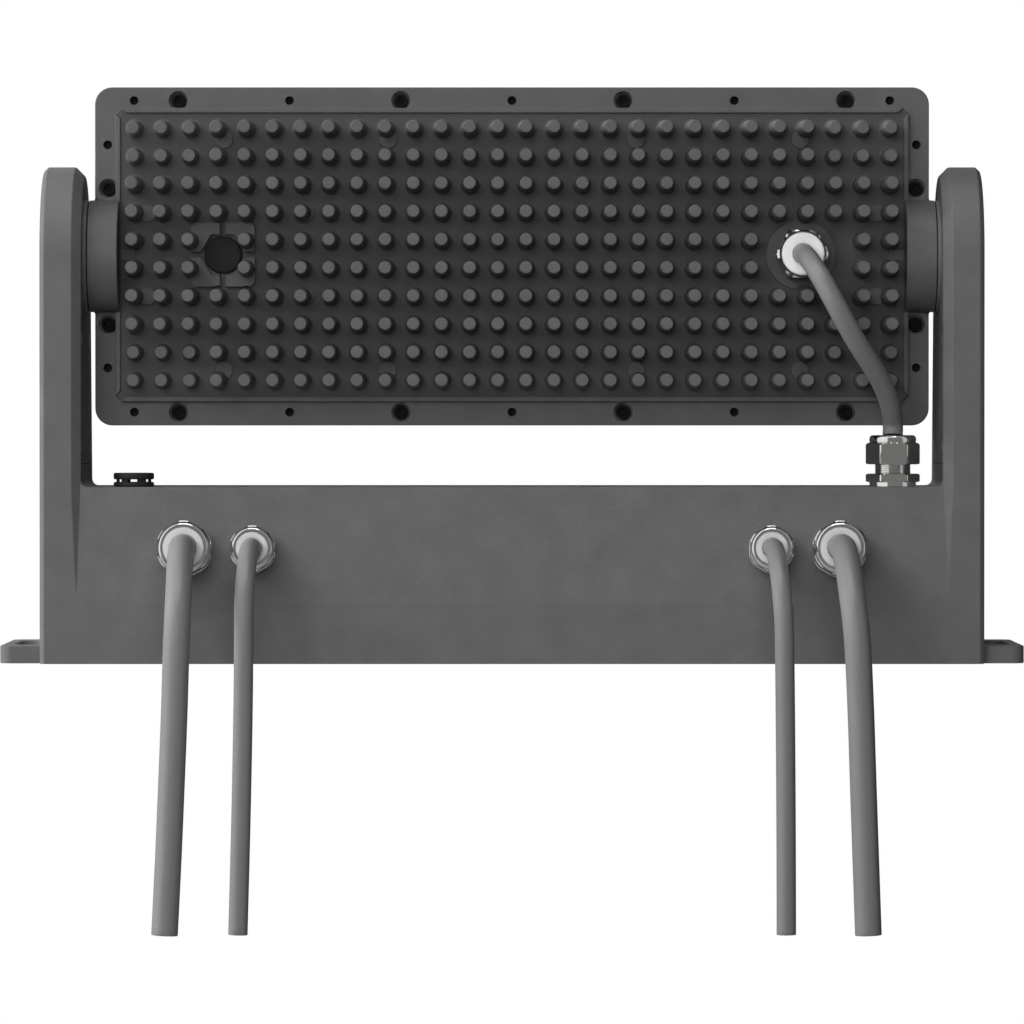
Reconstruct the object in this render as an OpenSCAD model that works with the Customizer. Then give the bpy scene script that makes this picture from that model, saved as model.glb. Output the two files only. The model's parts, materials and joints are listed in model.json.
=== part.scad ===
/* [Base and arms] */
// Width over the two arms
body_w = 435; // [425:1:450]
// Height of the base housing
base_h = 81.5; // [78:0.5:86]
// Thickness of each arm
arm_t = 19; // [18:0.5:22]
// Radius of the round arm tops, half the arm depth
arm_r = 41; // [40:0.5:44]
// Height of the tilt axis above the mounting face
axis_h = 188.5; // [187:0.5:196]
// Reach of the base in front of the arm tops
base_nose = 25; // [22:1:30]
// Wall thickness of the base casting
base_wall = 6; // [5:0.5:7]
// Lean of the front and rear walls, measured at the top
wall_lean = 4; // [3:0.5:4]
// Height at which the walls start to lean
crease_h = 28; // [20:1:34]
// Chamfer on the outer edges of the arms
outer_chamfer = 2; // [1:0.5:3]
// Chamfer on the inner edges of the arms
inner_chamfer = 4.3; // [4:0.1:5]
// Fillet where an arm meets the base top
corner_fillet = 3; // [1:0.5:5]

/* [Feet] */
// Distance that each foot stands out
foot_out = 19.1; // [17:0.1:22]
// Depth of each foot from rear to front
foot_depth = 95; // [86:1:96]
// Distance from the rear face to the feet
foot_setback = 9; // [6:1:10]
// Thickness of the feet
foot_t = 8.1; // [6:0.1:10]
// Corner radius of the feet
foot_corner = 6; // [3:0.5:8]
// Distance from the side of the base to the middle of a slot
slot_in = 8.8; // [8:0.1:9.4]
// Width of the fixing slots
slot_w = 10; // [8:0.5:11]
// Length of the fixing slots, end to end
slot_l = 56; // [40:1:62]

/* [Base plate] */
// Thickness of the base plate
plate_t = 3; // [2:0.5:4]
// Width of the rim round the plate
plate_rim = 2.5; // [2:0.1:3]
// Thickness of the flat gaskets
gasket_t = 1; // [0.8:0.1:1.5]

/* [Arm covers and tilt pivots] */
// Thickness of the arm covers
cover_t = 3; // [2:0.5:3.5]
// Height of the lower edge of the arm covers
cover_z = 92; // [88:1:100]
// Distance from the arm outline to the cover
cover_rim = 6; // [5.5:0.5:8]
// Outer wall of the hollow arms
arm_wall = 5; // [4:0.5:6]
// Diameter of the hubs on the head
hub_d = 52; // [50:1:52]
// Gap between a hub and its arm boss
hub_gap = 0.4; // [0.3:0.1:0.6]
// Radius of the shoulder of the pivot bolts
pivot_r = 8; // [6:0.5:9]
// Radial running clearance in the bushes
running_gap = 0.05; // [0.02:0.01:0.1]

/* [Head] */
// Width of the head flange
head_w = 388.5; // [386:0.5:389.5]
// Height of the head flange
head_h = 157.5; // [154:0.5:159]
// Corner radius of the head flange
head_corner = 8; // [5:0.5:9]
// Distance of the flange behind plane in front of the tilt axis
flange_y = 2; // [1:0.5:3]
// Thickness of the flange
flange_t = 6; // [5:0.5:7]
// Height of the field above the flange
field_rise = 2; // [1:0.5:3]
// Offset of the pin field above the head centre
field_up = 0.7; // [0:0.1:1]
// Height of the drain lip above the flange
lip_h = 4; // [3:0.5:6]
// Thickness of the drain lip
lip_t = 2.3; // [2:0.1:3]
// Distance of the lip from the flange sides
lip_in = 9.7; // [9.4:0.1:10]
// Width of the gaps at the lip corners
lip_gap = 2.3; // [1:0.1:4]

/* [Pin fins] */
// Columns of pins
pin_columns = 28; // [20:2:28]
// Rows of pins
pin_rows = 10; // [6:2:10]
// Spacing of the pins
pin_pitch = 13; // [12:0.1:13]
// Length of the pins
pin_l = 34; // [20:1:36]
// Length of the short pins at the corners
short_pin_l = 21; // [15:1:30]
// Pin radius at the root
pin_root_r = 4.1; // [3.5:0.1:4.5]
// Pin radius at the tip
pin_tip_r = 2.9; // [2:0.1:3]

/* [Front of the head] */
// Depth of the front frame
frame_d = 37; // [34:1:44]
// Thickness of the frame flange
frame_flange_t = 8; // [7:0.5:10]
// Thickness of the front glass
glass_t = 4; // [3:0.5:5]
// Thickness of the glass bezel
bezel_t = 3; // [2:0.5:4]
// Columns of lenses
lens_columns = 11; // [7:2:11]
// Rows of lenses
lens_rows = 4; // [2:2:4]
// Spacing of the lenses
lens_pitch = 29; // [28:0.5:29]
// Diameter of each lens
lens_d = 27; // [20:0.5:27]
// Thickness of the circuit boards
board_t = 1.6; // [1:0.1:2]

/* [Cable glands and cables] */
// Diameter of the mains cables
mains_d = 12; // [9:0.5:12.5]
// Diameter of the data cables
data_d = 8.8; // [6:0.2:9.4]
// Diameter of the head cable
jumper_d = 9.4; // [7:0.2:10]
// Hexagon width of the mains glands
mains_af = 24; // [23:1:26]
// Hexagon width of the data glands
data_af = 20; // [19:0.5:22]
// Hexagon width of the head cable glands
jumper_af = 22; // [21:0.5:24]
// Distance of the mains glands from the middle
mains_x = 150.3; // [148:0.1:154]
// Distance of the data glands from the middle
data_x = 119; // [112:0.5:121]
// Height of the rear glands
gland_z = 52.2; // [48:0.1:58]
// Distance of the base top fittings from the middle
top_fit_x = 176; // [170:1:178]
// Distance of the base top fittings behind the axis
top_fit_y = 25; // [22:1:26]
// Distance of the head gland and vent from the middle
head_fit_x = 134.5; // [133:0.5:136]

/* [Hidden] */
$fn = 64;
clear = 0.3;
fit = 0.2;
thread_gap = 0.04;
outer_x = body_w / 2;
inner_x = outer_x - arm_t;
nose_y = arm_r + base_nose;
arm_up = 0.4;
arm_top = axis_h + arm_up;
front_angle = acos(arm_r / norm([nose_y, arm_top])) - atan2(arm_top, nose_y);
wall_end_x = inner_x + inner_chamfer / 2 + 0.4;
lean_angle = atan(wall_lean / (base_h - crease_h));
hub_r = hub_d / 2;
boss_x = inner_x - 1.6;
hub_x = boss_x - hub_gap;
hub_l = 13.9;
hub_inner_x = hub_x - hub_l;
cover_screw_r = 1.5;
small_screw_l = 9;
m3_r = 1.5;
m3_head_r = 2.75;
m3_head_h = 2.4;
bush_wall = 2;
bush_flange_t = 1.2;
pivot_floor_x = outer_x - 8;
cap_t = 2.5;
pivot_pocket_r = 17;
washer_t = 1.9;
washer_r = 20;

// Depth planes of the head, measured forward from the tilt axis
flange_front_y = flange_y + flange_t;
field_y = flange_y - field_rise;
frame_y = flange_front_y + gasket_t;
frame_front_y = frame_y + frame_d;
frame_step_x = 13.25;
frame_step_z = 8.75;
frame_body_w = head_w - 2 * frame_step_x;
frame_body_h = head_h - 2 * frame_step_z;
cavity_w = frame_body_w - 10;
cavity_h = frame_body_h - 10;
rim_w = 7;
ledge_w = 5;
glass_gasket_t = 1.5;
seat_w = frame_body_w - 2 * rim_w;
seat_h = frame_body_h - 2 * rim_w;
opening_w = seat_w - 2 * ledge_w;
opening_h = seat_h - 2 * ledge_w;
glass_y = frame_front_y - clear - glass_t;
ledge_y = glass_y - glass_gasket_t;
board_top_y = flange_front_y + board_t;
led_t = 1.4;
led_screw_l = 6;
led_screw_head_h = 1.8;
led_top_y = board_top_y + led_t;
lens_plate_y = 33;
lens_plate_t = 2.5;

screw_step_x = head_w * 4 / 15;
side_screw_z = 31.7;
end_hole_in = 18.25;
side_hole_in = 26.85;
small_hole_r = 2;
head_screw_r = 2;
head_screw_head_r = 3.4;
screw_line = lip_in - head_screw_head_r - 0.1;
sink_r = 4.3;
sink_d = 3.6;
lip_trim = 1.5;

// Rear wall surface of the base at height z, and the front line of the arms
function rear_y(z) = -arm_r + wall_lean * max(0, z - crease_h) / (base_h - crease_h);
function front_y(inset, z) = (arm_r - inset + (arm_top - z) * sin(front_angle)) / cos(front_angle);
function base_front_y(z) = front_y(0, z) - wall_lean * max(0, z - crease_h) / (base_h - crease_h);

// Side outline of an arm, pulled in by inset, from height z0 up
function arm_outline(inset, z0) = concat(
    [[-(arm_r - inset), z0], [front_y(inset, z0), z0]],
    [for (k = [0:32]) let (a = front_angle + (180 - front_angle) * k / 32)
        [(arm_r - inset) * cos(a), arm_top + (arm_r - inset) * sin(a)]]);

// Stands a side outline up, thick towards +X from x0
module across(x0, t) translate([x0, 0, 0]) rotate([90, 0, 90]) linear_extrude(t) children();

// Turns a shape so that its height runs towards the rear, at depth y
module rearward(x, y, z) translate([x, y, z]) rotate([90, 0, 0]) children();

// Rounded rectangle with true arcs
module rounded(w, h, r) {
    square([w, h - 2 * r], center = true);
    square([w - 2 * r, h], center = true);
    for (sx = [-1, 1], sy = [-1, 1])
        translate([sx * (w / 2 - r), sy * (h / 2 - r)]) circle(r);
}

// Plate of the head between two depths in front of the tilt axis
module head_slab(w, h, r, y0, y1, up = 0) {
    rearward(0, y1, axis_h + up) linear_extrude(y1 - y0) rounded(w, h, r);
}

module head_bore(x, z, r, y0, y1) {
    rearward(x, y1, axis_h + z) cylinder(r = r, h = y1 - y0);
}

// Both sides of the part
module both() {
    children();
    mirror([1, 0, 0]) children();
}

// Swept tube along a list of points
function unit(v) = v / norm(v);
function heading(p, i) = let (n = len(p))
    i == 0 ? unit(p[1] - p[0])
    : i == n - 1 ? unit(p[n - 1] - p[n - 2])
    : unit(unit(p[i + 1] - p[i]) + unit(p[i] - p[i - 1]));
function ring(c, t, r, sides) = let (u = unit(cross([1, 0, 0.02], t)), v = cross(t, u))
    [for (k = [0:sides - 1]) c + r * (cos(360 * k / sides) * u + sin(360 * k / sides) * v)];
module tube(p, r, sides) {
    n = len(p);
    points = [for (i = [0:n - 1]) each ring(p[i], heading(p, i), r, sides)];
    walls = [for (i = [0:n - 2], k = [0:sides - 1])
        let (a = i * sides + k, b = i * sides + (k + 1) % sides)
        each [[a, a + sides, b + sides], [a, b + sides, b]]];
    start = [for (k = [1:sides - 2]) [0, k, k + 1]];
    end = [for (k = [1:sides - 2]) (n - 1) * sides * [1, 1, 1] + [0, k + 1, k]];
    polyhedron(points, concat(walls, start, end));
}

// Frame of a rear gland: height runs out of the sloped wall
function rear_out() = [0, -cos(lean_angle), sin(lean_angle)];
function rear_seat(x) = [x, rear_y(gland_z), gland_z];
module at_rear(x) translate(rear_seat(x)) rotate([90 - lean_angle, 0, 0]) children();
module at_base_top(x) translate([x, -top_fit_y, base_h]) rotate(30) children();
module at_head_fit(x, rise) rearward(x, field_y - rise, axis_h + field_up) rotate(30) children();

// Gland sizes: hexagon, thread radius, height, cable radius
mains_gland = [mains_af, 10, 25, mains_d / 2];
data_gland = [data_af, 8, 22, data_d / 2];
jumper_gland = [jumper_af, 8.5, 23.8, jumper_d / 2];
seal_l = 8;
vent_land_h = 3;
gland_land_h = 1.5;
gland_land_r = 16.3;
vent_r = 9.35;
vent_x = 174.8;
vent_post = [1.4, 3.35, 1.6];
vent_post_r = 7.27;
vent_thread_r = 5.9;
vent_pocket_af = 18.6;
inner_sheath = 12;

module hexagon(af, h) rotate(30) cylinder(r = af / sqrt(3), h = h, $fn = 6);

// Routes of the cables, from each gland mouth on
function mouth(x, g) = rear_seat(x) + g[2] * rear_out();
function lead(x, g) = [mouth(x, g), mouth(x, g) + 6 * rear_out()];
mains_in_route = concat(lead(-mains_x, mains_gland), [
    [-150, -86, 53], [-150, -101, 46], [-150, -113, 34], [-150.3, -119.5, 21.5],
    [-150.8, -121.5, 7], [-151.6, -121.5, -20], [-152.8, -121.5, -50],
    [-154.3, -121.5, -85], [-156, -121.5, -119]]);
mains_out_route = concat(lead(mains_x, mains_gland), [
    [150.8, -86, 53], [151.8, -101, 46], [153, -113, 34], [154.3, -119.5, 21.5],
    [155.4, -121.5, 7], [156.6, -121.5, -20], [157.6, -121.5, -50],
    [158.8, -121.5, -85], [160, -121.5, -119]]);
data_in_route = concat(lead(-data_x, data_gland), [
    [-119.5, -79, 53], [-120, -90, 48], [-120.6, -98.5, 39], [-121, -103.5, 29],
    [-121, -105, 18], [-121.2, -105, -10], [-121.8, -105, -45],
    [-122.6, -105, -80], [-123.7, -105, -120]]);
data_out_route = concat(lead(data_x, data_gland), [
    [119.6, -79, 53], [120.4, -90, 48], [121.4, -98.5, 39], [122.2, -103.5, 29],
    [122.8, -105, 18], [123.2, -105, -10], [123.5, -105, -45],
    [123.7, -105, -80], [123.8, -105, -120]]);
head_mouth = [head_fit_x, field_y - gland_land_h - jumper_gland[2], axis_h + field_up];
base_mouth = [top_fit_x, -top_fit_y, base_h + jumper_gland[2]];
head_cable_route = concat([head_mouth, head_mouth + [0, -6, 0]], [
    [135.5, -42, 187.4], [138, -51.5, 183.4], [142, -58, 176.4], [147, -60.5, 167],
    [152.5, -59, 157], [158.5, -54.5, 147], [165, -48, 137.5], [170.5, -40.5, 128.5],
    [174.4, -32.5, 119.5]], [base_mouth + [0, 0, 6], base_mouth]);

// Castings and covers of the base

module base_block() {
    across(-wall_end_x, 2 * wall_end_x) polygon([
        [-arm_r, 0], [nose_y, 0], [base_front_y(crease_h), crease_h],
        [base_front_y(base_h), base_h], [rear_y(base_h), base_h], [-arm_r, crease_h]]);
}

module arm_solid() {
    hull() {
        across(outer_x - 0.01, 0.01) polygon(arm_outline(outer_chamfer, 0));
        across(outer_x - outer_chamfer, 0.01) polygon(arm_outline(0, 0));
        across(inner_x + inner_chamfer, 0.01) polygon(arm_outline(0, 0));
        across(inner_x, 0.01) polygon(arm_outline(inner_chamfer, 0));
    }
}

// Fills the groove beside the rear wall, where the arm's chamfer runs out at the crease
module chamfer_runout() {
    behind = base_wall - arm_r;
    hull() {
        across(inner_x + inner_chamfer / 2, inner_chamfer) polygon([
            [-arm_r, 0], [-arm_r, crease_h], [behind, crease_h], [behind, 0]]);
        translate([inner_x, 0, base_h - 0.01]) linear_extrude(0.01) polygon([
            [inner_chamfer, -arm_r], [inner_chamfer - wall_lean, rear_y(base_h)],
            [0, behind], [inner_chamfer, behind]]);
    }
}

module foot() {
    translate([outer_x - arm_wall, foot_setback - arm_r, 0]) linear_extrude(foot_t)
        difference() {
            union() {
                square([arm_wall + foot_out - foot_corner, foot_depth]);
                translate([0, foot_corner])
                    square([arm_wall + foot_out, foot_depth - 2 * foot_corner]);
                for (y = [foot_corner, foot_depth - foot_corner])
                    translate([arm_wall + foot_out - foot_corner, y]) circle(foot_corner);
            }
            translate([arm_wall + slot_in, foot_depth / 2]) {
                square([slot_w, slot_l - slot_w], center = true);
                for (s = [-1, 1])
                    translate([0, s * (slot_l - slot_w) / 2]) circle(slot_w / 2);
            }
        }
}

module corner_fill() {
    translate([-inner_x, base_front_y(base_h), base_h]) rotate([90, 0, 0])
        linear_extrude(base_front_y(base_h) - rear_y(base_h)) difference() {
            translate([-1, -1]) square(corner_fillet + 1);
            translate([corner_fillet, corner_fillet]) circle(corner_fillet);
        }
}

plate_screw_in = 10.5;
plate_screw_x = 70;
plate_screw_l = 12;
tap_depth = 2.4;
plate_screw_spots = [
    for (x = [-outer_x + plate_screw_in, -plate_screw_x, plate_screw_x, outer_x - plate_screw_in],
        front = [0, 1])
        [x, front ? nose_y - plate_screw_in : -arm_r + plate_screw_in]];
ledge_z = plate_t + gasket_t;
plate_boss_r = 6;
plate_boss_h = 16;
top_boss_r = 12;
top_boss_h = 7;

module inside_base() {
    inner = outer_x - base_wall;
    across(-inner, 2 * inner) polygon([
        [rear_y(0) + base_wall, ledge_z - 1], [nose_y - base_wall, ledge_z - 1],
        [base_front_y(crease_h) - base_wall, crease_h],
        [base_front_y(base_h - base_wall) - base_wall, base_h - base_wall],
        [rear_y(base_h - base_wall) + base_wall, base_h - base_wall],
        [rear_y(0) + base_wall, crease_h]]);
}

// Outline of the base plate and its rebate, pulled in by inset
module plate_shape(inset, h) {
    linear_extrude(h) translate([-outer_x + inset, -arm_r + inset])
        square([body_w - 2 * inset, arm_r + nose_y - 2 * inset]);
}

cover_screw_spots = concat(
    [for (a = [48, 132]) [30.7 * cos(a), axis_h + 30.7 * sin(a)]],
    [[-29, 150], [31, 150], [-29, cover_z + 8], [35, cover_z + 8]]);

module arm_hollow() {
    floor_x = outer_x - arm_wall;
    difference() {
        across(inner_x + cover_t, floor_x - inner_x - cover_t)
            polygon(arm_outline(cover_rim + 3, cover_z + 3));
        across(inner_x, arm_t) translate([0, axis_h]) circle(hub_r);
        for (p = cover_screw_spots)
            across(inner_x, arm_t) translate(p) circle(4);
    }
    difference() {
        across(inner_x - 1, cover_t + 1) polygon(arm_outline(cover_rim, cover_z));
        across(inner_x - 2, cover_t + 3) translate([0, axis_h]) circle(hub_r);
    }
    for (p = cover_screw_spots)
        across(inner_x, cover_t + 8) translate(p) circle(cover_screw_r);
}

module yoke_base() {
    color("dimgray") {
        difference() {
            union() {
                base_block();
                arm_solid();
                mirror([1, 0, 0]) arm_solid();
                both() chamfer_runout();
                both() foot();
                both() corner_fill();
                both() across(boss_x, arm_t / 2) translate([0, axis_h]) circle(hub_r);
            }
            difference() {
                inside_base();
                for (p = plate_screw_spots)
                    translate([p[0], p[1], 0]) cylinder(r = plate_boss_r, h = plate_boss_h);
                for (x = [top_fit_x, -vent_x])
                    at_base_top(x) translate([0, 0, -base_wall - top_boss_h])
                        cylinder(r = top_boss_r, h = base_wall + top_boss_h);
            }
            translate([0, 0, -1]) plate_shape(plate_rim, ledge_z + 1);
            for (p = plate_screw_spots)
                translate([p[0], p[1], 0]) cylinder(r = 2, h = 14);
            both() arm_hollow();
            both() across(boss_x - 1, arm_t) translate([0, axis_h])
                circle(pivot_r + running_gap + bush_wall);
            both() across(boss_x - 1, 1 + washer_t) translate([0, axis_h])
                circle(washer_r + fit);
            both() across(pivot_floor_x, arm_t) translate([0, axis_h]) circle(pivot_pocket_r);
            for (s = [-1, 1]) {
                at_rear(s * mains_x) translate([0, 0, -base_wall - 1])
                    cylinder(r = mains_gland[1] + fit, h = base_wall + 2);
                at_rear(s * data_x) translate([0, 0, -base_wall - 1])
                    cylinder(r = data_gland[1] + fit, h = base_wall + 2);
            }
            at_base_top(top_fit_x) translate([0, 0, -base_wall - top_boss_h - 1])
                cylinder(r = jumper_gland[1] + thread_gap, h = base_wall + top_boss_h + 2);
            at_base_top(-vent_x) translate([0, 0, -base_wall - top_boss_h - 1])
                cylinder(r = vent_thread_r + thread_gap, h = base_wall + top_boss_h + 2);
        }
    }
}

// Countersunk screw with its head at z = 0 and its tip up
module sunk_screw(r, l) {
    difference() {
        union() {
            cylinder(r1 = 2 * r - thread_gap, r2 = r - thread_gap, h = r);
            cylinder(r = r - thread_gap, h = l);
        }
        translate([0, 0, -1]) cylinder(r = 0.9 * r, h = 1 + 0.6 * r, $fn = 6);
    }
}

module sunk_hole(r, l) {
    translate([0, 0, -0.01]) cylinder(r1 = 2 * r + 0.1, r2 = r + 0.1, h = r + 0.01);
    cylinder(r = r + 0.1, h = l);
}

// Socket screw with its shank from z = 0 down and its head above
module cap_screw(r, l, head_r, head_h) {
    difference() {
        union() {
            translate([0, 0, -l]) cylinder(r = r - thread_gap, h = l);
            cylinder(r = head_r, h = head_h);
        }
        translate([0, 0, 0.45 * head_h]) cylinder(r = 0.55 * head_r, h = head_h, $fn = 6);
    }
}

module base_plate() {
    color("gray") difference() {
        plate_shape(plate_rim + fit, plate_t);
        for (p = plate_screw_spots)
            translate([p[0], p[1], 0]) sunk_hole(2, plate_t + 1);
        for (p = concat(supply_screw_spots, board_screw_spots, block_screw_spots))
            translate([p[0], p[1], plate_t - tap_depth]) cylinder(r = 1.5, h = tap_depth + 1);
    }
}

module base_gasket() {
    color("black") translate([0, 0, plate_t]) difference() {
        union() {
            difference() {
                plate_shape(plate_rim + fit, gasket_t);
                translate([0, 0, -1]) plate_shape(base_wall, gasket_t + 2);
            }
            intersection() {
                plate_shape(plate_rim + fit, gasket_t);
                for (p = plate_screw_spots)
                    translate([p[0], p[1], 0]) cylinder(r = plate_boss_r, h = gasket_t);
            }
        }
        for (p = plate_screw_spots)
            translate([p[0], p[1], -1]) cylinder(r = 2.3, h = gasket_t + 2);
    }
}

module base_plate_screws() {
    color("silver") for (p = plate_screw_spots)
        translate([p[0], p[1], 0]) sunk_screw(2, plate_screw_l);
}

// Electronics on the base plate

supply_size = [165, 60, 36];
supply_at = [-95, -18];
tab_t = 2.5;
supply_leads = [46, 51, 56];
lead_z = 18;
lead_depth = 6;
supply_screw_spots = [for (x = [-4, supply_size[0] + 4], y = [8, supply_size[1] - 8])
    [supply_at[0] + x, supply_at[1] + y]];
board_size = [84, 50];
board_at = [supply_at[0] + supply_size[0] + 16, -8];
standoff_h = 9;
connector_size = [18, 9, 11];
connector_at = [19, 42, 65];
power_inlet_at = [14, 20, 0];
board_screw_spots = [for (x = [5, board_size[0] - 5], y = [5, board_size[1] - 5])
    [board_at[0] + x, board_at[1] + y]];
block_size = [36, 18, 20];
block_at = [-150, 189];
block_y = 14;
pole_step = 6;
pole_depth = 6;
low_pole_z = 8;
high_pole_z = 14.5;
block_screw_spots = [for (x = block_at, s = [-1, 1]) [x + s * 11, block_y]];

module power_supply() {
    color("silver") translate([supply_at[0], supply_at[1], plate_t]) difference() {
        union() {
            cube(supply_size);
            translate([-9, 0, 0]) cube([supply_size[0] + 18, supply_size[1], tab_t]);
            for (k = [0:10])
                translate([10 + (supply_size[0] - 25) / 10 * k, 3, supply_size[2] - 1])
                    cube([5, supply_size[1] - 6, 4]);
        }
        for (p = supply_screw_spots)
            translate([p[0] - supply_at[0], p[1] - supply_at[1], -1]) cylinder(r = 1.8, h = 5);
        for (x = [-1, supply_size[0] - lead_depth], y = supply_leads)
            translate([x, y, lead_z]) rotate([0, 90, 0]) cylinder(r = 1.5, h = lead_depth + 1);
    }
}

module equipment_screws() {
    color("silver") {
        for (p = supply_screw_spots)
            translate([p[0], p[1], plate_t + tab_t]) cap_screw(m3_r, tab_t + 2, m3_head_r, m3_head_h);
        for (p = block_screw_spots)
            translate([p[0], p[1], plate_t + block_size[2]])
                cap_screw(m3_r, block_size[2] + 2, m3_head_r, m3_head_h);
    }
}

board_z = plate_t + standoff_h;

module board_standoffs() {
    color("gold") for (p = board_screw_spots)
        translate([p[0], p[1], plate_t]) {
            hexagon(6, standoff_h);
            translate([0, 0, 0.1 - tap_depth]) cylinder(r = 1.5 - thread_gap, h = tap_depth);
            translate([0, 0, standoff_h]) cylinder(r = 1.5 - thread_gap, h = board_t + 1.5);
        }
}

module control_board() {
    color("darkgreen") translate([board_at[0], board_at[1], board_z]) difference() {
        cube([board_size[0], board_size[1], board_t]);
        for (p = board_screw_spots)
            translate([p[0] - board_at[0], p[1] - board_at[1], -1])
                cylinder(r = 1.6, h = board_t + 2);
    }
}

module control_parts() {
    color("black") translate([board_at[0], board_at[1], board_z + board_t]) {
        for (x = connector_at)
            translate([x - connector_size[0] / 2, 2, 0]) cube(connector_size);
        translate([34, 22, 0]) cube([12, 12, 1.6]);
        translate(power_inlet_at) cube([14, 18, 12]);
        for (k = [0:2]) translate([54 + 9 * k, 26, 0]) cylinder(r = 3.5, h = 10);
        for (k = [0:5]) translate([33 + 5 * k, 41, 0]) cube([2.5, 5, 1.2]);
    }
}

module terminal_blocks() {
    color("ivory") for (x = block_at) translate([x, block_y, plate_t]) difference() {
        translate([-block_size[0] / 2, -block_size[1] / 2, 0]) cube(block_size);
        for (s = [-1, 1]) translate([s * 11, 0, -1]) cylinder(r = 1.6, h = block_size[2] + 2);
        for (k = [-1:1]) {
            for (hole = [[1, low_pole_z], [-1, low_pole_z], [1, high_pole_z]])
                translate([pole_step * k, hole[0] * (block_size[1] / 2 + 1), hole[1]])
                    rotate([90 * hole[0], 0, 0]) cylinder(r = 2, h = pole_depth + 1);
            translate([pole_step * k, -4, 12]) cylinder(r = 1.8, h = block_size[2]);
        }
    }
}

// Cores from the sheath ends to the blocks, the supply and the board. Core k of a
// group lies beside core 0 by k steps, and each route ends inside its pole.
core_r = 1.3;
thin_core_r = 0.8;
link_z = 22;
function sheath_tip(x, g) = rear_seat(x) - (base_wall + inner_sheath) * rear_out();
function jumper_tip() = [top_fit_x, -top_fit_y, base_h - base_wall - inner_sheath];
function pole(x, k, side, z) =
    [x + pole_step * k, block_y + side * (block_size[1] / 2 - pole_depth + 0.5), plate_t + z];
function pin_of(n, k) = [board_at[0] + connector_at[n] + 5 * k, board_at[1] + 1.8,
    board_z + board_t + connector_size[2] / 2];
function supply_pole(end, k) = [supply_at[0] + (end < 0 ? lead_depth - 1 : supply_size[0] - lead_depth + 1),
    supply_at[1] + supply_leads[1 + k], plate_t + lead_z];

// Arrives at a goal from the side that away points to
function arrive(goal, away) = [goal + 14 * away + [0, 0, 3], goal + 9 * away, goal];
function from_gland(x, g, k, gap, goal) =
    let (a = sheath_tip(x, g) + [gap * k, 0.2, 0], side = sign(goal[0] - a[0]), dx = abs(goal[0] - a[0]))
    concat([a, a + [0, 5 - (dx > 20 ? 2.5 * side * k : 0), -1],
        a + [(goal[0] - a[0]) / 2, 9 - (dx > 20 ? 4 * side * k : 0), -12]], arrive(goal, [0, -1, 0]));
function over_supply(k) =
    let (a = sheath_tip(-data_x, data_gland) + [2.2 * k, 0.2, 0], goal = pin_of(0, k),
        y = supply_at[1] + 8 - 2.6 * k, z = plate_t + supply_size[2] + 15)
    concat([a, a + [0, 4 - 2 * k, 0], [supply_at[0], y, z], [supply_at[0] + supply_size[0], y, z],
        goal + [0, -14, 22 + 3 * k]], arrive(goal, [0, -1, 0]));
function from_jumper(k) =
    let (a = jumper_tip() + [2.2 * k, 0, -0.2], goal = pin_of(2, k))
    concat([a, a + [0, 0, -12 - 2 * k], a + [-6, -1, -28 - 2.5 * k]], arrive(goal, [0, -1, 0]));
function supply_feed(k) =
    let (a = pole(block_at[0], -k, 1, high_pole_z), b = supply_pole(-1, k))
    [a, [a[0], b[1] - 4, a[2]], [a[0] + 4, b[1], a[2] + 4.5], b + [-12, 0, 0], b];
function supply_out(k) =
    let (a = supply_pole(1, k), goal = [board_at[0] + power_inlet_at[0] - 0.2,
        board_at[1] + power_inlet_at[1] + 9 + 5 * k, board_z + board_t + 8])
    [a, a + [9, 0, 0], [goal[0] - 8, goal[1], goal[2]], goal];
function block_link(k) =
    let (a = pole(block_at[0], k, 1, low_pole_z), b = pole(block_at[1], -k, 1, low_pole_z),
        y = nose_y - base_wall - 8 - 3.2 * k)
    [a, a + [0, 8, 0], [a[0], y - 9, link_z - 6], [a[0] + 6, y, link_z],
     [b[0] - 6, y, link_z], [b[0], y - 9, link_z - 6], b + [0, 8, 0], b];

module internal_wiring() {
    color("firebrick") for (k = [-1:1]) {
        for (s = [0, 1]) let (side = 2 * s - 1)
            tube(from_gland(side * mains_x, mains_gland, k, 3,
                pole(block_at[s], k, -1, low_pole_z)), core_r, 6);
        tube(block_link(k), core_r, 6);
        tube(supply_feed(k), core_r, 6);
        tube(supply_out(k), core_r, 6);
        tube(from_gland(data_x, data_gland, k, 2.2, pin_of(1, k)), thin_core_r, 6);
        tube(over_supply(k), thin_core_r, 6);
        tube(from_jumper(k), thin_core_r, 6);
    }
}

module sheath_end(g) {
    translate([0, 0, -base_wall - inner_sheath])
        cylinder(r = g[3], h = g[2] + base_wall + inner_sheath);
}

module sheath_ends() {
    color("gray") {
        for (s = [-1, 1]) {
            at_rear(s * mains_x) sheath_end(mains_gland);
            at_rear(s * data_x) sheath_end(data_gland);
        }
        at_base_top(top_fit_x) sheath_end(jumper_gland);
    }
}

// Arm covers, bushes and tilt pivots, made for the side at +X

module arm_cover() {
    difference() {
        across(inner_x, cover_t - fit) polygon(arm_outline(cover_rim + fit, cover_z + fit));
        across(inner_x - 1, cover_t + 2) translate([0, axis_h]) circle(hub_r + fit);
        for (p = cover_screw_spots)
            translate([inner_x, p[0], p[1]]) rotate([0, 90, 0]) sunk_hole(cover_screw_r, small_screw_l);
    }
}

module arm_cover_right() { color("dimgray") arm_cover(); }
module arm_cover_left() { color("dimgray") mirror([1, 0, 0]) arm_cover(); }

module arm_cover_screws() {
    color("silver") both() for (p = cover_screw_spots)
        translate([inner_x, p[0], p[1]]) rotate([0, 90, 0]) sunk_screw(cover_screw_r, small_screw_l);
}

bush_r = pivot_r + running_gap + bush_wall;

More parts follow.
